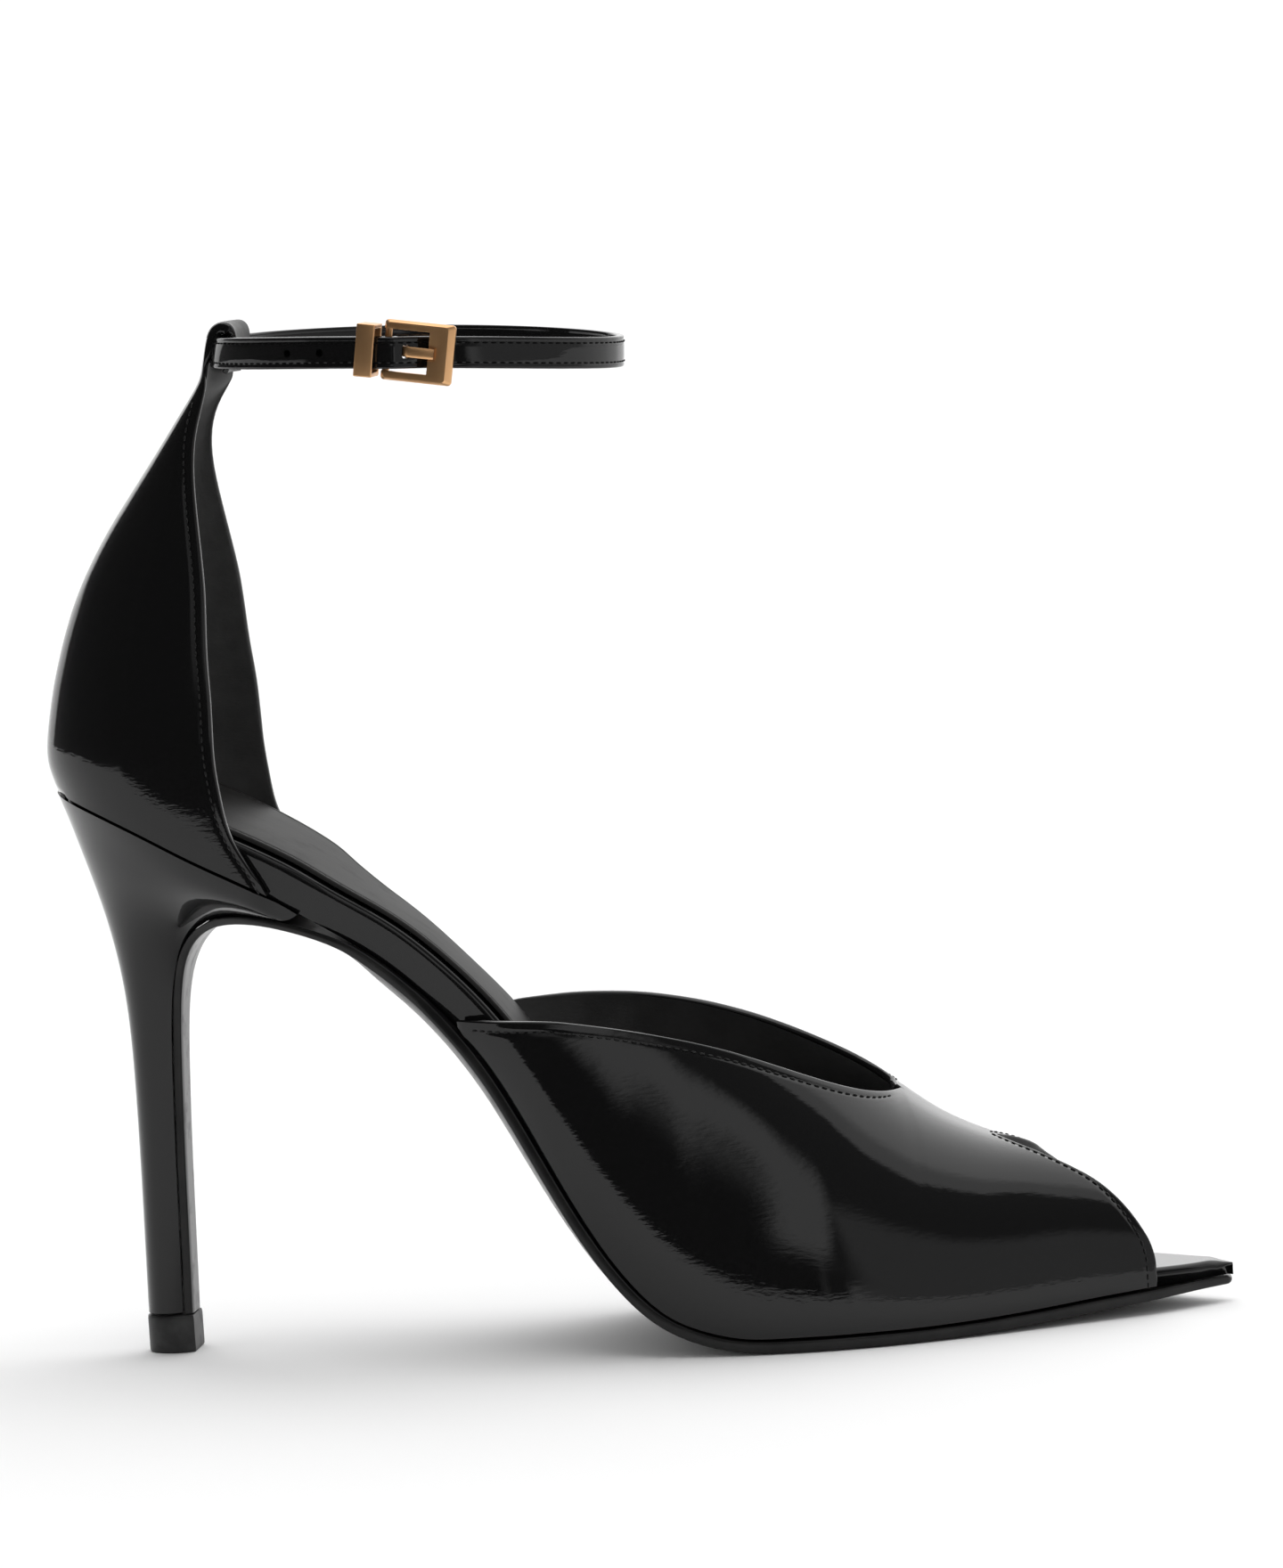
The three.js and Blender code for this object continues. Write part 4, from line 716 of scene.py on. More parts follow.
def vamp_point(x, turn):
    """A point of the vamp's outside: turn runs from 0 at the outer feather to 180 at the inner one."""
    outer_side = turn <= 90
    side = np.where(outer_side, -1, 1)
    angle = np.radians(np.where(outer_side, turn, 180 - turn))
    foot, rise = last_heights(x)
    crest = crest_at(x / shoe_length) * ball_width
    edge = np.where(outer_side, insole_edge(x, -1), insole_edge(x, 1))
    feather = edge + side * (vamp_wall + piece_gap)
    ball = ease((x - wing_start - 8) / 48)
    swell = lerp(wing_swell, vamp_swell, ball) * np.minimum(1, np.abs(feather - crest) / (ball_width / 3))
    swell = swell * (1 - np.exp(-angle / lerp(wing_turn, swell_turn, ball)))
    cosine, sine = np.cos(angle).clip(0), np.sin(angle).clip(0)
    return np.stack([x + 0 * angle, crest + (feather - crest) * cosine ** fullness + side * swell * cosine,
                     foot + rise * sine ** fullness], -1)


def vamp_normal(x, turn):
    """The way out of the vamp's skin. At the feather it is level, because the rim stands on the sole."""
    ahead = vamp_point(x + 0.4, turn) - vamp_point(x - 0.4, turn)
    around = vamp_point(x, np.minimum(turn + 1, 180)) - vamp_point(x, np.maximum(turn - 1, 0))
    normal = np.cross(ahead, around)
    normal /= np.linalg.norm(normal, axis=-1, keepdims=True)
    level = np.stack([0 * x, np.where(turn <= 90, -1.0, 1.0), 0 * x], -1)
    near = (np.minimum(turn, 180 - turn) / 8).clip(0, 1)[..., None]
    normal = lerp(level, normal, near)
    return normal / np.linalg.norm(normal, axis=-1, keepdims=True)


throat_column, last_column = 17, 24
vamp_columns = np.concatenate([np.linspace(0, throat_column, 86), np.linspace(throat_column, 23, 31)[1:],
                               np.linspace(23, last_column, 15)[1:]])
vamp_climb = np.concatenate([np.linspace(0, 0.1, 10, endpoint=False), np.linspace(0.1, 0.9, 30, endpoint=False),
                             np.linspace(0.9, 1, 15)])


def vamp_spots(name):
    """Place along the shoe and turn round the last, for every column and climb of one side."""
    foot = toe_foot_lateral if name == "lateral" else toe_foot_medial
    i = vamp_columns[:, None]
    s = vamp_climb[None, :]
    top = np.where(i <= throat_column,
                   lerp(wing_start, throat_at, np.minimum(i / throat_column, 1) ** 0.92),
                   lerp(throat_at, toe_apex_at, (i - throat_column) / (last_column - throat_column)))
    under = lerp(wing_start, foot, (i / last_column) ** 1.04)
    base, rise = last_heights(top)
    edge = track(topline_rows, "share", name, 0.03)((top - wing_start) / (throat_at - wing_start)) * vamp_height
    share = np.minimum(1, np.maximum(edge - base, wing_tail) / rise)
    top_turn = np.where(i < throat_column, np.degrees(np.arcsin(share ** (1 / fullness))), 90)
    opening = track(opening_rows, "climb", name, 0.02)(s)
    x = lerp(under, top, lerp(s, opening, ease(i / last_column)))
    turn = top_turn * s
    return x, (turn if name == "lateral" else 180 - turn)


def inset_line(grid, distance):
    """On every line of a grid, the point at a distance from the line's last point, measured along the skin."""
    spots = []
    for line in grid[:, ::-1]:
        length = np.concatenate([[0], np.cumsum(np.linalg.norm(np.diff(line, axis=0), axis=1))])
        spots.append([np.interp(distance, length, line[:, k]) for k in range(3)])
    return np.array(spots)


def sewn_channel(grid, normals, lines, depth=0.14, width=0.42):
    """Presses a skin in along its sewn lines."""
    for line in lines:
        fine = np.concatenate([lerp(line[:-1], line[1:], t) for t in (0, 0.25, 0.5, 0.75)])
        flat = grid.reshape(-1, 3)
        near = np.full(len(flat), 9.0)
        for spots in np.array_split(fine, max(1, len(fine) // 60)):
            near = np.minimum(near, np.linalg.norm(flat[:, None] - spots[None], axis=-1).min(1))
        grid = grid - normals * (depth * np.exp(-(near / width) ** 2)).reshape(grid.shape[:-1])[..., None]
    return grid


def rim(outer, inner, before, bulge=0.55, steps=6):
    """Rounded edge between the border of a skin and of its lining; before is the line next to the border."""
    middle, arm = (outer + inner) / 2, (outer - inner) / 2
    away = outer - before
    size = np.linalg.norm(arm, axis=1, keepdims=True)
    away -= arm * (away * arm).sum(1, keepdims=True) / size ** 2
    away /= np.linalg.norm(away, axis=1, keepdims=True)
    count = np.arange(len(outer))
    fade = (count / 4).clip(0, 1) * ((len(outer) - 1 - count) / 4).clip(0, 1)
    away *= size * bulge * fade[:, None]
    strip = np.stack([middle + arm * math.cos(a) + away * math.sin(a)
                      for a in np.linspace(0, math.pi, steps + 1)], 1)
    return strip, grid_faces(len(outer), steps + 1), 0


def stitched(points, name):
    """A bare edge path, in shoe millimetres, for a row of stitches."""
    mesh = bpy.data.meshes.new(name)
    mesh.from_pydata(row_place(points).tolist(), [(i, i + 1) for i in range(len(points) - 1)], [])
    made = bpy.data.objects.new(name, mesh)
    scene.collection.objects.link(made)
    return made


patent = new_material("patent_leather", Base_Color=(0.001, 0.001, 0.0011, 1), Specular_IOR_Level=0.05,
                      Coat_Weight=1.0, Coat_IOR=1.42)
add_skin(patent, True, Wave_size=0.011, Wave_depth=0.00003, Fibre_size=0.001, Fibre_depth=0.000017,
         Gloss=0.03, Rub=0.05)
lining = new_material("lining_leather", Sheen_Weight=0.15, Sheen_Roughness=0.5)
add_skin(lining, Wave_size=0.012, Wave_depth=0.0001, Fibre_size=0.0005, Fibre_depth=0.00003, Gloss=0.5, Rub=0.2)
mottle(lining, (0.014, 0.0138, 0.0135), (0.03, 0.0295, 0.029), 0.008)

# A row of stitches along a path: short satin threads with rounded ends, sunk a little into the skin.
stitch_tree = bpy.data.node_groups.new("stitch_row", "GeometryNodeTree")
for label, kind, value in (("Path", "NodeSocketGeometry", None), ("Pitch", "NodeSocketFloat", 0.0016),
                           ("Length", "NodeSocketFloat", 0.0011), ("Thread", "NodeSocketFloat", 0.00035),
                           ("Wander", "NodeSocketFloat", 0.06), ("Finish", "NodeSocketMaterial", None)):
    socket = stitch_tree.interface.new_socket(label, in_out="INPUT", socket_type=kind)
    if value is not None:
        socket.default_value = value
stitch_tree.interface.new_socket("Stitches", in_out="OUTPUT", socket_type="NodeSocketGeometry")
ends = add_node(stitch_tree, "NodeGroupInput").outputs
path = add_node(stitch_tree, "GeometryNodeMeshToCurve", {"Mesh": ends["Path"]})
spaced = add_node(stitch_tree, "GeometryNodeCurveToPoints", {
    "Curve": path.outputs["Curve"], "Length": ends["Pitch"]}, mode="LENGTH")
thread = add_node(stitch_tree, "GeometryNodeMeshUVSphere", {"Segments": 8, "Rings": 6, "Radius": 0.5})
size = add_node(stitch_tree, "ShaderNodeCombineXYZ", {
    "X": ends["Thread"], "Y": ends["Thread"], "Z": ends["Length"]})
sway = add_node(stitch_tree, "FunctionNodeRandomValue", {"Seed": 7}, data_type="FLOAT_VECTOR")
low_sway = add_node(stitch_tree, "ShaderNodeMath", {0: ends["Wander"], 1: -1.0}, operation="MULTIPLY")
for end, value in (("Min", low_sway.outputs[0]), ("Max", ends["Wander"])):
    vector = add_node(stitch_tree, "ShaderNodeCombineXYZ", {"X": value, "Y": value, "Z": value})
    stitch_tree.links.new(vector.outputs[0], sway.inputs[end])
turned = add_node(stitch_tree, "FunctionNodeRotateRotation", {
    "Rotation": spaced.outputs["Rotation"], "Rotate By": sway.outputs["Value"]}, rotation_space="LOCAL")
placed = add_node(stitch_tree, "GeometryNodeInstanceOnPoints", {
    "Points": spaced.outputs["Points"], "Instance": thread.outputs["Mesh"], "Rotation": turned.outputs[0],
    "Scale": size.outputs[0]})
real = add_node(stitch_tree, "GeometryNodeRealizeInstances", {"Geometry": placed.outputs["Instances"]})
smooth = add_node(stitch_tree, "GeometryNodeSetShadeSmooth", {0: real.outputs[0]})
finished = add_node(stitch_tree, "GeometryNodeSetMaterial", {
    "Geometry": smooth.outputs[0], "Material": ends["Finish"]})
stitch_out = stitch_tree.nodes.new("NodeGroupOutput")
stitch_tree.links.new(finished.outputs[0], stitch_out.inputs[0])
thread_finish = new_material("black_thread", Specular_IOR_Level=0.25, Sheen_Weight=0.05)
add_skin(thread_finish, Wave_size=0.002, Wave_depth=0.00001, Fibre_size=0.0002, Fibre_depth=0.00002,
         Gloss=0.45, Rub=0.1)
mottle(thread_finish, (0.005, 0.005, 0.005), (0.012, 0.012, 0.012), 0.001)


def sew(name, lines, slot, **numbers):
    """Runs the stitch tree along every line and turns the result into one plain mesh."""
    runs = [stitched(line, f"{name}_run{i}") for i, line in enumerate(lines)]
    bpy.ops.object.select_all(action="DESELECT")
    for run in runs:
        run.select_set(True)
    bpy.context.view_layer.objects.active = runs[0]
    if len(runs) > 1:
        bpy.ops.object.join()
    run = runs[0]
    modifier = run.modifiers.new("stitches", "NODES")
    modifier.node_group = stitch_tree
    sockets = {item.name: item.identifier for item in stitch_tree.interface.items_tree if item.in_out == "INPUT"}
    for label, value in {"Finish": thread_finish, **numbers}.items():
        modifier[sockets[label]] = value
    dg = bpy.context.evaluated_depsgraph_get()
    mesh = bpy.data.meshes.new_from_object(run.evaluated_get(dg), depsgraph=dg)
    bpy.data.objects.remove(run)
    made = bpy.data.objects.new(name, mesh)
    scene.collection.objects.link(made)
    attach(made, "root")
    return made


sock_line = np.linspace(30, sock_end - sock_nose, 160)
sew("sock_stitches", [np.stack([sock_spot(x, side * (1 - sock_seam_in / sock_bed(x)[1])) for x in sock_line])
                      for side in (-1, 1)], "sock_leather")

vamp_parts, vamp_seams = [], []
for name in ("lateral", "medial"):
    x, turn = vamp_spots(name)
    outer, normals = vamp_point(x, turn), vamp_normal(x, turn)
    topline_seam = inset_line(outer[vamp_columns <= throat_column + 0.01], 1.7)
    opening_seam = inset_line(np.swapaxes(outer, 0, 1), 1.6)
    vamp_seams += [topline_seam[3:-3], opening_seam[1:-3]]
    inner = outer - normals * vamp_wall
    outer = sewn_channel(outer, normals, vamp_seams[-2:])
    rows, columns = outer.shape[:2]
    throat = int(np.searchsorted(vamp_columns, throat_column)) + 1
    vamp_parts += [
        (outer, grid_faces(rows, columns), 0), (inner, grid_faces(rows, columns), 1),
        rim(outer[:throat, -1], inner[:throat, -1], outer[:throat, -2]),
        rim(outer[-1], inner[-1], outer[-2]),
        rim(outer[0], inner[0], outer[1], bulge=0.3),
        rim(outer[:, 0], inner[:, 0], outer[:, 1], bulge=0.0, steps=1),
    ]
vamp = piece("vamp_skin", vamp_parts, [patent, lining], 60)
dress(vamp, "vamp")
sew("vamp_stitches", vamp_seams, "patent_leather")

# Counter: the closed heel cup in lined patent, its front edges folded and sewn. Its back runs up as a
# narrow tab that folds over the ankle strap and is sewn down inside.
tab_wall, tab_sag, fold_padding = 1.0, 0.8, 1.7
twist, twist_over, twist_spread = 3.0, 0.8, 2.6  # the tab's inner half is pulled forward at the strap
climb_rows, twisted_rows, smooth_from, sewn_rows, lining_from = 61, 22, 40, 58, 3.5
tab_rows = table(
    "forward up",
    (0.5, 1.8), (1, 4.3), (1.5, 7), (2.2, 9.4), (3.2, 10.6), (4.8, 11.2), (6.2, 11.1), (7.2, 10.2), (7.6, 8.8),
    (7.5, 6.4), (6.9, 4.2), (6.0, 2.4), (5.2, 1.4))
edge_bunch = np.linspace(0, 1, 15)[1:] * 0.075
counter_turns = np.concatenate([-1 + np.concatenate([[0], edge_bunch]), np.linspace(-0.915, 0.915, 71),
                                1 - np.concatenate([edge_bunch[::-1], [0]])])


def counter_point(z, turn):
    back, front, half = counter_section(z)
    angle = np.abs(turn) * math.pi / 2
    reach = 1 - np.cos(angle).clip(0) ** (2 / roundness)
    return np.stack([lerp(back, front, reach), np.sign(turn) * half * np.sin(angle) ** (2 / roundness),
                     z + 0 * turn], -1)


wall_shares = np.linspace(0, 1, climb_rows)[:, None] ** 0.95
foot_z = np.full(len(counter_turns), float(seat_height))
for _ in range(8):
    foot_z = sole_height(counter_point(foot_z, counter_turns)[:, 0]) + piece_gap
wall_grid = counter_point(lerp(foot_z[None, :], back_height, wall_shares),
                          counter_turns[None, :] + 0 * wall_shares)
top_line = wall_grid[-1]
crown = top_line[len(counter_turns) // 2]
tab_runs = np.linspace(0, len(tab_rows["up"]), 66)[1:]
forward_rows = np.concatenate([[0], tab_rows["forward"]])
up_rows = np.concatenate([[0], tab_rows["up"]])
tab_grid = []
for run in tab_runs:
    ahead, rise = along_rows(forward_rows, run, 0.6), along_rows(up_rows, run, 0.6)
    sag = tab_sag * (top_line[:, 1] / tab_half_width) ** 2
    x = crown[0] + ahead + lerp(top_line[:, 0] - crown[0], sag, ease(run / 1.2))
    tab_grid.append(np.stack([x, top_line[:, 1], 0 * x + back_height + rise], 1))
counter_outer = np.concatenate([wall_grid, tab_grid])
turned_share = np.where(np.arange(len(counter_outer)) < climb_rows + twisted_rows, 1.0, 0.0)[:, None]
above = counter_outer[..., 2] - back_height - twist_over
pulled = twist * np.exp(-(above / twist_spread) ** 2) * turned_share
counter_outer[..., 0] += pulled * ease(counter_outer[..., 1] / tab_half_width)
for k in (0, 2):
    for j in range(len(counter_turns)):
        counter_outer[smooth_from:, j, k] = blur(counter_outer[smooth_from:, j, k], 2.0)
climb_way = np.gradient(counter_outer, axis=0)
around_way = np.gradient(counter_outer, axis=1)
counter_normals = np.cross(around_way, climb_way)
counter_normals /= np.linalg.norm(counter_normals, axis=-1, keepdims=True)
wall = lerp(counter_wall, tab_wall, ease((np.arange(len(counter_outer)) - 34) / 24))
wall[climb_rows:] += fold_padding * ease((tab_runs - 1.5) / 2) * (1 - ease((tab_runs - 8) / 1.4))
counter_inner = counter_outer + counter_normals * wall[:, None, None]
counter_inner[0, :, 2] = sole_height(counter_inner[0, :, 0]) + piece_gap
flip = counter_outer[:, ::-1]
counter_seams = [inset_line(grid[:sewn_rows], 1.8) for grid in (counter_outer, flip)]
counter_outer = sewn_channel(counter_outer, -counter_normals, counter_seams)
rows, columns = counter_outer.shape[:2]
fold = climb_rows + int(np.searchsorted(tab_runs, lining_from))
counter_parts = [
    (counter_outer[:fold + 1], grid_faces(fold + 1, columns), 0),
    (counter_outer[fold:], grid_faces(rows - fold, columns), 1), (counter_inner, grid_faces(rows, columns), 1),
    rim(counter_outer[:, 0], counter_inner[:, 0], counter_outer[:, 1]),
    rim(counter_outer[:, -1], counter_inner[:, -1], counter_outer[:, -2]),
    rim(counter_outer[-1], counter_inner[-1], counter_outer[-2], bulge=0.3),
    rim(counter_outer[0], counter_inner[0], counter_outer[1], bulge=0.0, steps=1),
]
counter = piece("counter_skin", counter_parts, [patent, lining], 60)
dress(counter, "counter")
sew("counter_stitches", counter_seams, "patent_leather")

# Ankle strap: a narrow folded strap of patent with a row of stitches along both edges. Its pared end turns
# round the buckle's bar; the rest goes through the tab, round the ankle and through buckle and keeper.
strap_width, strap_thickness, fold_thickness = 5.9, 1.4, 0.8
strap_length, strap_span, strap_level, strap_drop, strap_rise = 74.3, 56, 188.4, 4.5, 1
buckle_length, buckle_height, buckle_thickness, buckle_bar, buckle_rail = 13.1, 11.1, 1.7, 4.6, 1.65
pivot_bar, buckle_lean, buckle_yaw = 1.3, math.radians(9.5), math.radians(-2)
tab_lean = 0.2
strap_foot = strap_level - strap_width / 2 - back_height
loop_back = (counter_section(np.array(float(back_height)))[0] + 0.3 + tab_lean * strap_foot + tab_wall
             + piece_gap * 2 + strap_thickness * 1.5 + tab_lean * strap_width / 2)
loop_middle = loop_back + strap_length / 2
bar_turn, bar_off = 92.6, 0.7


def loop_frame(turn, off):
    """Point, run and outward way of the ankle loop; turn 90 is the outer side and 180 the tab."""
    angle = math.radians(turn)
    run = np.array([-math.sin(angle) * strap_length / 2, -math.cos(angle) * strap_span / 2, 0])
    run /= np.linalg.norm(run)
    out = np.array([-run[1], run[0], 0])
    x = loop_middle + math.cos(angle) * strap_length / 2
    y = -math.sin(angle) * strap_span / 2
    z = strap_level - strap_drop * (x - loop_back) / strap_length + strap_rise * math.sin(angle) ** 2
    return np.array([x, y, z]) + out * off, run, out


bar_point, bar_run, bar_out = loop_frame(bar_turn, bar_off)
lift_up = (buckle_length / 2 - pivot_bar / 2) * (math.sin(buckle_lean) - strap_drop / strap_length)
buckle_axes = np.stack([-bar_run, bar_out, [0, 0, -1]], 1)
yaw = np.array([[math.cos(buckle_yaw), -math.sin(buckle_yaw), 0],
                [math.sin(buckle_yaw), math.cos(buckle_yaw), 0], [0, 0, 1]])
slope = np.array([[math.cos(buckle_lean), 0, -math.sin(buckle_lean)], [0, 1, 0],
                  [math.sin(buckle_lean), 0, math.cos(buckle_lean)]])
buckle_turn = buckle_axes @ yaw @ slope
buckle_spot = bar_point + (0, 0, lift_up)


def at_buckle(points):
    """From the buckle's own axes (forward, outward, down) to the shoe's."""
    return np.asarray(points, float) @ buckle_turn.T + buckle_spot


turn_per_length = 360 / (math.pi * strap_length)
fold_round = pivot_bar / 2 + piece_gap + fold_thickness / 2
over_bar = bar_off + fold_round + fold_thickness / 2 + piece_gap + strap_thickness / 2
doubled = strap_thickness + piece_gap
route = [(bar_turn + 1.5, bar_off + fold_round, fold_thickness, 1)]
route += [(bar_turn - fold_round * math.cos(math.radians(a)) * turn_per_length,
           bar_off + fold_round * math.sin(math.radians(a)), fold_thickness, 1)
          for a in (90, 60, 30, 0, -30, -60, -90)]
route += [(bar_turn + 3, bar_off - fold_round, fold_thickness, 1),
          (bar_turn + 7, (bar_off - fold_round) / 2, lerp(fold_thickness, strap_thickness, 0.6), 0),
          (bar_turn + 11, 0, strap_thickness, 0)]
route += [(turn, 0, strap_thickness, 0) for turn in (
    110, 120, 130, 140, 150, 158, 165, 171, 176, 180, 184, 189, 195, 202, 210, 220, 230, 240, 250, 260, 270, 280,
    290, 300, 310, 320, 328, 336, 344, 352, 360, 368, 376, 384, 392, 400, 408, 416, 423, 429, 434)]
route += [(turn, off, strap_thickness, 0) for turn, off in (
    (438, -0.1), (441, -0.12), (444.7, over_bar * 0.36), (449, over_bar * 0.84))]
route += [(360 + bar_turn + turn, over_bar + off, strap_thickness, 0)
          for turn, off in ((-1.4, 0), (1, -0.03), (2.9, -0.5), (4.8, -1.05), (7, -1.45))]
route += [(360 + bar_turn + 10.5, doubled + 0.1, strap_thickness, 0)]
route += [(360 + turn, doubled, strap_thickness, 0)
          for turn in (107, 112, 118, 126, 134, 142, 150, 158, 165, 171, 175)]
centres = np.array([loop_frame(turn, off)[0] for turn, off, _, _ in route])
run_length = np.concatenate([[0], np.cumsum(np.linalg.norm(np.diff(centres, axis=0), axis=1))])
strap_uprights, strap_outs = [], []
for i, (turn, off, thick, fold) in enumerate(route):
    along = centres[min(i + 1, len(route) - 1)] - centres[max(i - 1, 0)]
    along /= np.linalg.norm(along)
    in_tab = ease((-math.cos(math.radians(turn)) - 0.8) / 0.15)
    leaning = np.array([lerp(strap_drop / strap_length, tab_lean, in_tab), 0, 1.0])
    upright_way = -buckle_turn[:, 2] if fold else leaning
    upright_way = upright_way / np.linalg.norm(upright_way)
    out_way = np.cross(upright_way, along)
    out_way /= np.linalg.norm(out_way)
    strap_outs.append(out_way)
    strap_uprights.append(upright_way if fold else np.cross(along, out_way))


def strap_values(values, length, spread=0.8):
    """Strap values at places along its length, softened over a spread in millimetres."""
    fine = np.arange(0, run_length[-1], 0.1)
    columns = np.asarray(values, float).reshape(len(run_length), -1).T
    return np.stack([np.interp(length, fine, blur(even(run_length, column, fine), spread * 10))
                     for column in columns], -1)


strap_runs = np.concatenate([np.arange(0, 9, 0.3), np.arange(9, run_length[-1] - 0.2, 0.8),
                             [run_length[-1] - 0.1]])
strap_centre = strap_values(centres, strap_runs, 0.35)
strap_out = strap_values(strap_outs, strap_runs, 0.35)
strap_up = strap_values(strap_uprights, strap_runs, 0.35)
strap_thick = strap_values([row[2] for row in route], strap_runs)
strap_profile = [(-0.985, 0.3), (-0.95, 0.42), (-0.89, 0.485), (-0.8, 0.49), (-0.74, 0.45), (-0.68, 0.43),
                 (-0.62, 0.46), (-0.54, 0.5), (-0.3, 0.515), (0, 0.52)]
strap_profile += [(-y, rise) for y, rise in reversed(strap_profile[:-1])]
strap_profile = strap_profile + [(-y, -rise) for y, rise in strap_profile]
strap_rings = np.stack([strap_centre + strap_up * y * strap_width / 2 + strap_out * strap_thick * rise
                        for y, rise in strap_profile], 1)
strap = piece("strap_body", [loft(strap_rings)], [patent], 50)


def cutter(name, points, faces):
    return piece(name, [(points, faces, 0)], [patent])


box_faces = [[0, 1, 3, 2], [4, 6, 7, 5], [0, 4, 5, 1], [2, 3, 7, 6], [0, 2, 6, 4], [1, 5, 7, 3]]


def box_points(size, middle):
    return np.array([[middle[k] + size[k] / 2 * sign[k] for k in range(3)]
                     for sign in ((a, b, c) for a in (-1, 1) for b in (-1, 1) for c in (-1, 1))])


def take_away(made, cutters, join=()):
    """Cuts pieces out of a piece, or joins them to it, and leaves one plain mesh."""
    for tool in [*cutters, *join]:
        modifier = made.modifiers.new("cut", "BOOLEAN")
        modifier.operation = "UNION" if tool in join else "DIFFERENCE"
        modifier.solver = "EXACT"
        modifier.object = tool
    dg = bpy.context.evaluated_depsgraph_get()
    mesh = bpy.data.meshes.new_from_object(made.evaluated_get(dg), depsgraph=dg)
    made.modifiers.clear()
    made.data = mesh
    for tool in [*cutters, *join]:
        bpy.data.objects.remove(tool)
    return made


prong_width, prong_thickness = 1.9, 0.9
plate_base = 0.3
plate_face = plate_base + buckle_thickness
prong_round = pivot_bar / 2 + piece_gap + prong_thickness / 2
prong_over = plate_face + prong_thickness / 2
prong_path = [(prong_round * math.cos(math.radians(a)), prong_round * math.sin(math.radians(a)))
              for a in (200, 235, 270, 305, 340)]
prong_path += [(2.1, 0.25), (2.9, 1.1), (3.6, 2.1), (4.4, prong_over + 0.2), (6, prong_over + 0.25),
               (buckle_length - pivot_bar / 2 - buckle_bar + 1.1, prong_over)]


def prong_rings(width, thickness, steps=40):
    """Sections of the prong in the buckle's axes: round the bar, up through the hole, on to the frame."""
    path = np.array(prong_path)
    length = np.concatenate([[0], np.cumsum(np.linalg.norm(np.diff(path, axis=0), axis=1))])
    fine = np.linspace(0, length[-1], steps)
    spots = np.stack([blur(even(length, path[:, k], fine), 0.8) for k in range(2)], 1)
    way = np.gradient(spots, axis=0)
    way /= np.linalg.norm(way, axis=1, keepdims=True)
    across = np.stack([-way[:, 1], way[:, 0]], 1)
    section = ((0.5, 0.3), (0.42, 0.42), (0.3, 0.5), (-0.4, 0.5), (-0.5, 0.42))
    section = section + tuple((a, -b) for a, b in reversed(section))
    return np.stack([np.column_stack([spots + across * a * thickness, np.full(steps, b * width)])
                     for a, b in section], 1)


slot_cut = cutter("slot_cut", at_buckle(box_points(
    (5.4, 2.2 + fold_thickness, prong_width + 2 * piece_gap), (-0.5, 0, 0))), box_faces)
rings, faces, _ = loft(prong_rings(prong_width + 2 * piece_gap, prong_thickness + 2 * piece_gap))
hole_cut = cutter("hole_cut", at_buckle(rings.reshape(-1, 3)), faces)
punches, hole_round = [], 0.72
for hole_x in (56.5, 62.6):
    hole_turn = math.degrees(math.acos((hole_x - loop_middle) / (strap_length / 2)))
    middle, run, out = loop_frame(hole_turn, doubled)
    turns = np.linspace(0, 2 * math.pi, 17)[:-1]
    ring = [[middle + out * depth + hole_round * (run * math.cos(a) + np.array([0, 0, 1]) * math.sin(a))
             for a in turns] for depth in (-0.9, 1.2)]
    rings, faces, _ = loft(ring)
    punches.append(cutter("punch", rings.reshape(-1, 3), faces))
take_away(strap, [slot_cut, hole_cut, *punches])
strap.data.set_sharp_from_angle(angle=math.radians(40))
dress(strap, "ankle_strap")
sewn = strap_runs[(strap_runs > 13) & (strap_runs < run_length[-1] - 1)]
seam_centre, seam_out, seam_up = (strap_values(v, sewn, 0.35) for v in (centres, strap_outs, strap_uprights))
sewn_turns = np.interp(sewn, run_length, [row[0] for row in route])
loop_outs = np.array([loop_frame(turn, 0)[2] for turn in sewn_turns])
seam_out = seam_out * np.sign((seam_out * loop_outs).sum(1))[:, None]
strap_seams = [seam_centre + seam_out * (strap_thickness * 0.48) + seam_up * side * strap_width / 2 * 0.62
               for side in (-1, 1)]
strap_thread = new_material("strap_thread", Specular_IOR_Level=0.06, Base_Color=(0.002, 0.002, 0.002, 1),
                            Roughness=0.6)
sew("strap_stitches", strap_seams, "patent_leather", Finish=strap_thread)

# Buckle: a cast and polished frame with sloping edges, its open side closed by the round bar that the
# strap's end turns round. It is plated a warm gold.
gold = new_material("gold_plate", Metallic=1.0, Base_Color=(0.62, 0.40, 0.19, 1))
add_skin(gold, Wave_size=0.012, Wave_depth=0.000004, Fibre_size=0.002, Fibre_depth=0.0000001,
         Gloss=0.34, Rub=0.0)
mottle(gold, (0.68, 0.38, 0.18), (0.74, 0.44, 0.22), 0.008)
front_bevel, rail_bevel, frame_corner = 1.2, 0.45, 0.7


def plate_outline(outward, slope, steps=8):
    rear, front = -pivot_bar / 2, -pivot_bar / 2 + buckle_length
    half = buckle_height / 2 - rail_bevel * slope
    points = []
    for a, b, start in ((1, 1, 0), (-1, 1, 90), (-1, -1, 180), (1, -1, 270)):
        end = front - front_bevel * slope if a == 1 else rear + rail_bevel * slope
        for turn in np.linspace(0, 90, steps):
            angle = math.radians(start + turn)
            points.append([end - a * frame_corner + frame_corner * math.cos(angle), outward,
                           b * (half - frame_corner) + frame_corner * math.sin(angle)])
    return points


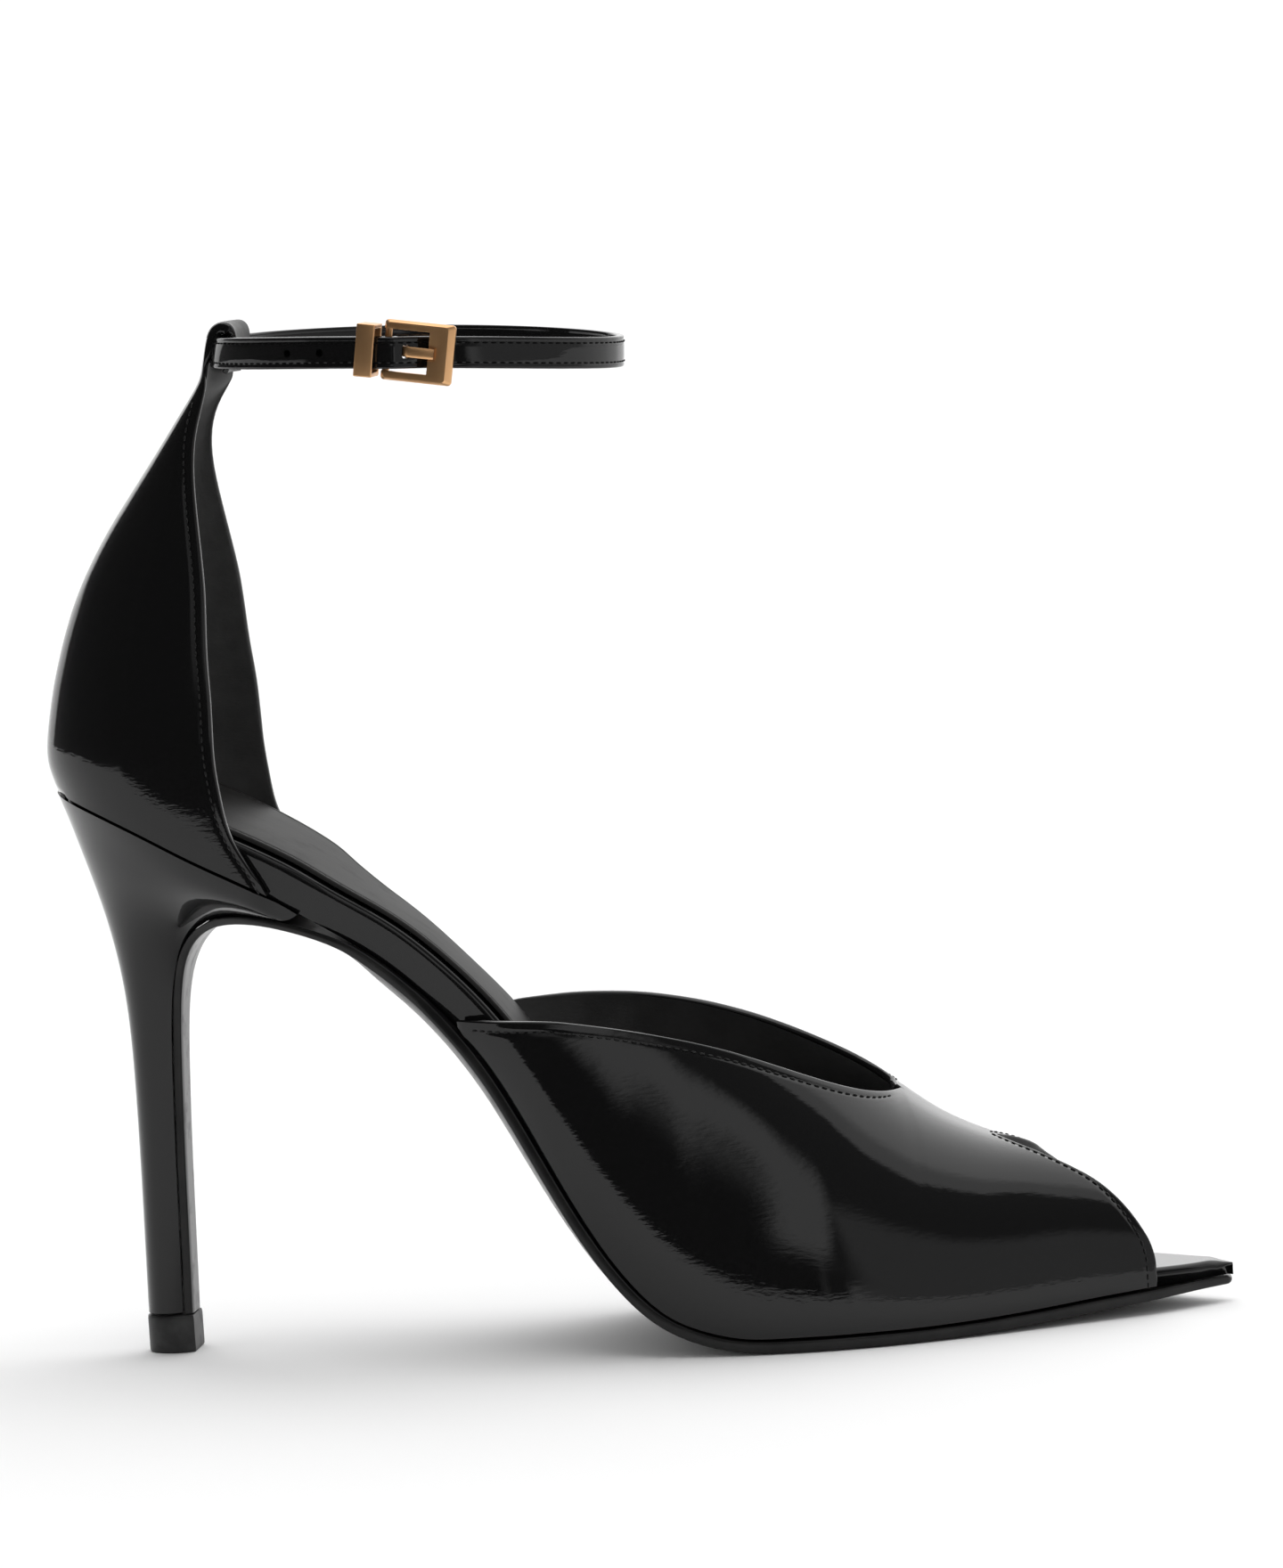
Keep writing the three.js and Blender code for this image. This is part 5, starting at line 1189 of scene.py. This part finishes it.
plate_rings = [plate_outline(plate_base, 0), plate_outline(plate_face - 0.9, 0), plate_outline(plate_face, 1)]
rings, faces, _ = loft(plate_rings)
buckle = piece("buckle_plate", [(at_buckle(rings.reshape(-1, 3)), faces, 0)], [gold])
open_length = buckle_length - buckle_bar
front = -pivot_bar / 2 + buckle_length
window = cutter("window", at_buckle(box_points(
    (open_length + 1, 4, buckle_height - 2 * buckle_rail),
    (-pivot_bar / 2 + (open_length - 1) / 2, plate_face, 0))), box_faces)
notch = cutter("notch", at_buckle(box_points(
    (1.6, 0.6, prong_width + 2 * piece_gap), (front - buckle_bar + 0.6, plate_face, 0))), box_faces)
turns = np.linspace(0, 2 * math.pi, 25)[:-1]
rings, faces, _ = loft([[[pivot_bar / 2 * math.cos(a), pivot_bar / 2 * math.sin(a), end] for a in turns]
                        for end in (-buckle_height / 2 + 1.4, buckle_height / 2 - 1.4)])
bar = cutter("bar", at_buckle(rings.reshape(-1, 3)), faces)
take_away(buckle, [window, notch], [bar])


def soften_edges(made, width, angle=30, segments=3):
    """A small round on every edge, as polishing leaves it, finished to a plain mesh."""
    modifier = made.modifiers.new("round", "BEVEL")
    modifier.width, modifier.segments = width * 0.001, segments
    modifier.limit_method, modifier.angle_limit = "ANGLE", math.radians(angle)
    modifier.harden_normals = False
    dg = bpy.context.evaluated_depsgraph_get()
    mesh = bpy.data.meshes.new_from_object(made.evaluated_get(dg), depsgraph=dg)
    made.modifiers.clear()
    made.data = mesh
    mesh.polygons.foreach_set("use_smooth", [True] * len(mesh.polygons))
    mesh.set_sharp_from_angle(angle=math.radians(30))
    return made


soften_edges(buckle, 0.3)
dress(buckle, "buckle_frame")

# Prong: a flat gold tongue that hooks round the bar, comes up through the strap and rests on the frame.
rings, faces, _ = loft(prong_rings(prong_width, prong_thickness))
prong = piece("buckle_prong", [(at_buckle(rings.reshape(-1, 3)), faces, 0)], [gold], 30)
dress(prong, "prong")

# Keeper: a flat gold loop that holds the strap's end down behind the buckle.
keeper_length, keeper_height, keeper_wall, keeper_room = 3.4, 9.7, 0.8, 5.5
keeper_back, keeper_off, keeper_rise, keeper_lean = 3.6, 0.55, 0.5, math.radians(8.5)
keeper_slope = np.array([[math.cos(keeper_lean), 0, -math.sin(keeper_lean)], [0, 1, 0],
                         [math.sin(keeper_lean), 0, math.cos(keeper_lean)]])


def at_keeper(points):
    local = np.asarray(points, float) @ keeper_slope.T + (-keeper_back, keeper_off, 0)
    return local @ buckle_axes.T + bar_point + (0, 0, keeper_back * strap_drop / strap_length + keeper_rise)


keeper = piece("keeper_loop", [(at_keeper(box_points(
    (keeper_length, keeper_room + 2 * keeper_wall, keeper_height), (0, 0, 0))), box_faces, 0)], [gold])
inside = cutter("inside", at_keeper(box_points(
    (keeper_length + 2, keeper_room, keeper_height - 2 * keeper_wall), (0, 0, 0))), box_faces)
take_away(keeper, [inside])
soften_edges(keeper, 0.22)
dress(keeper, "keeper")
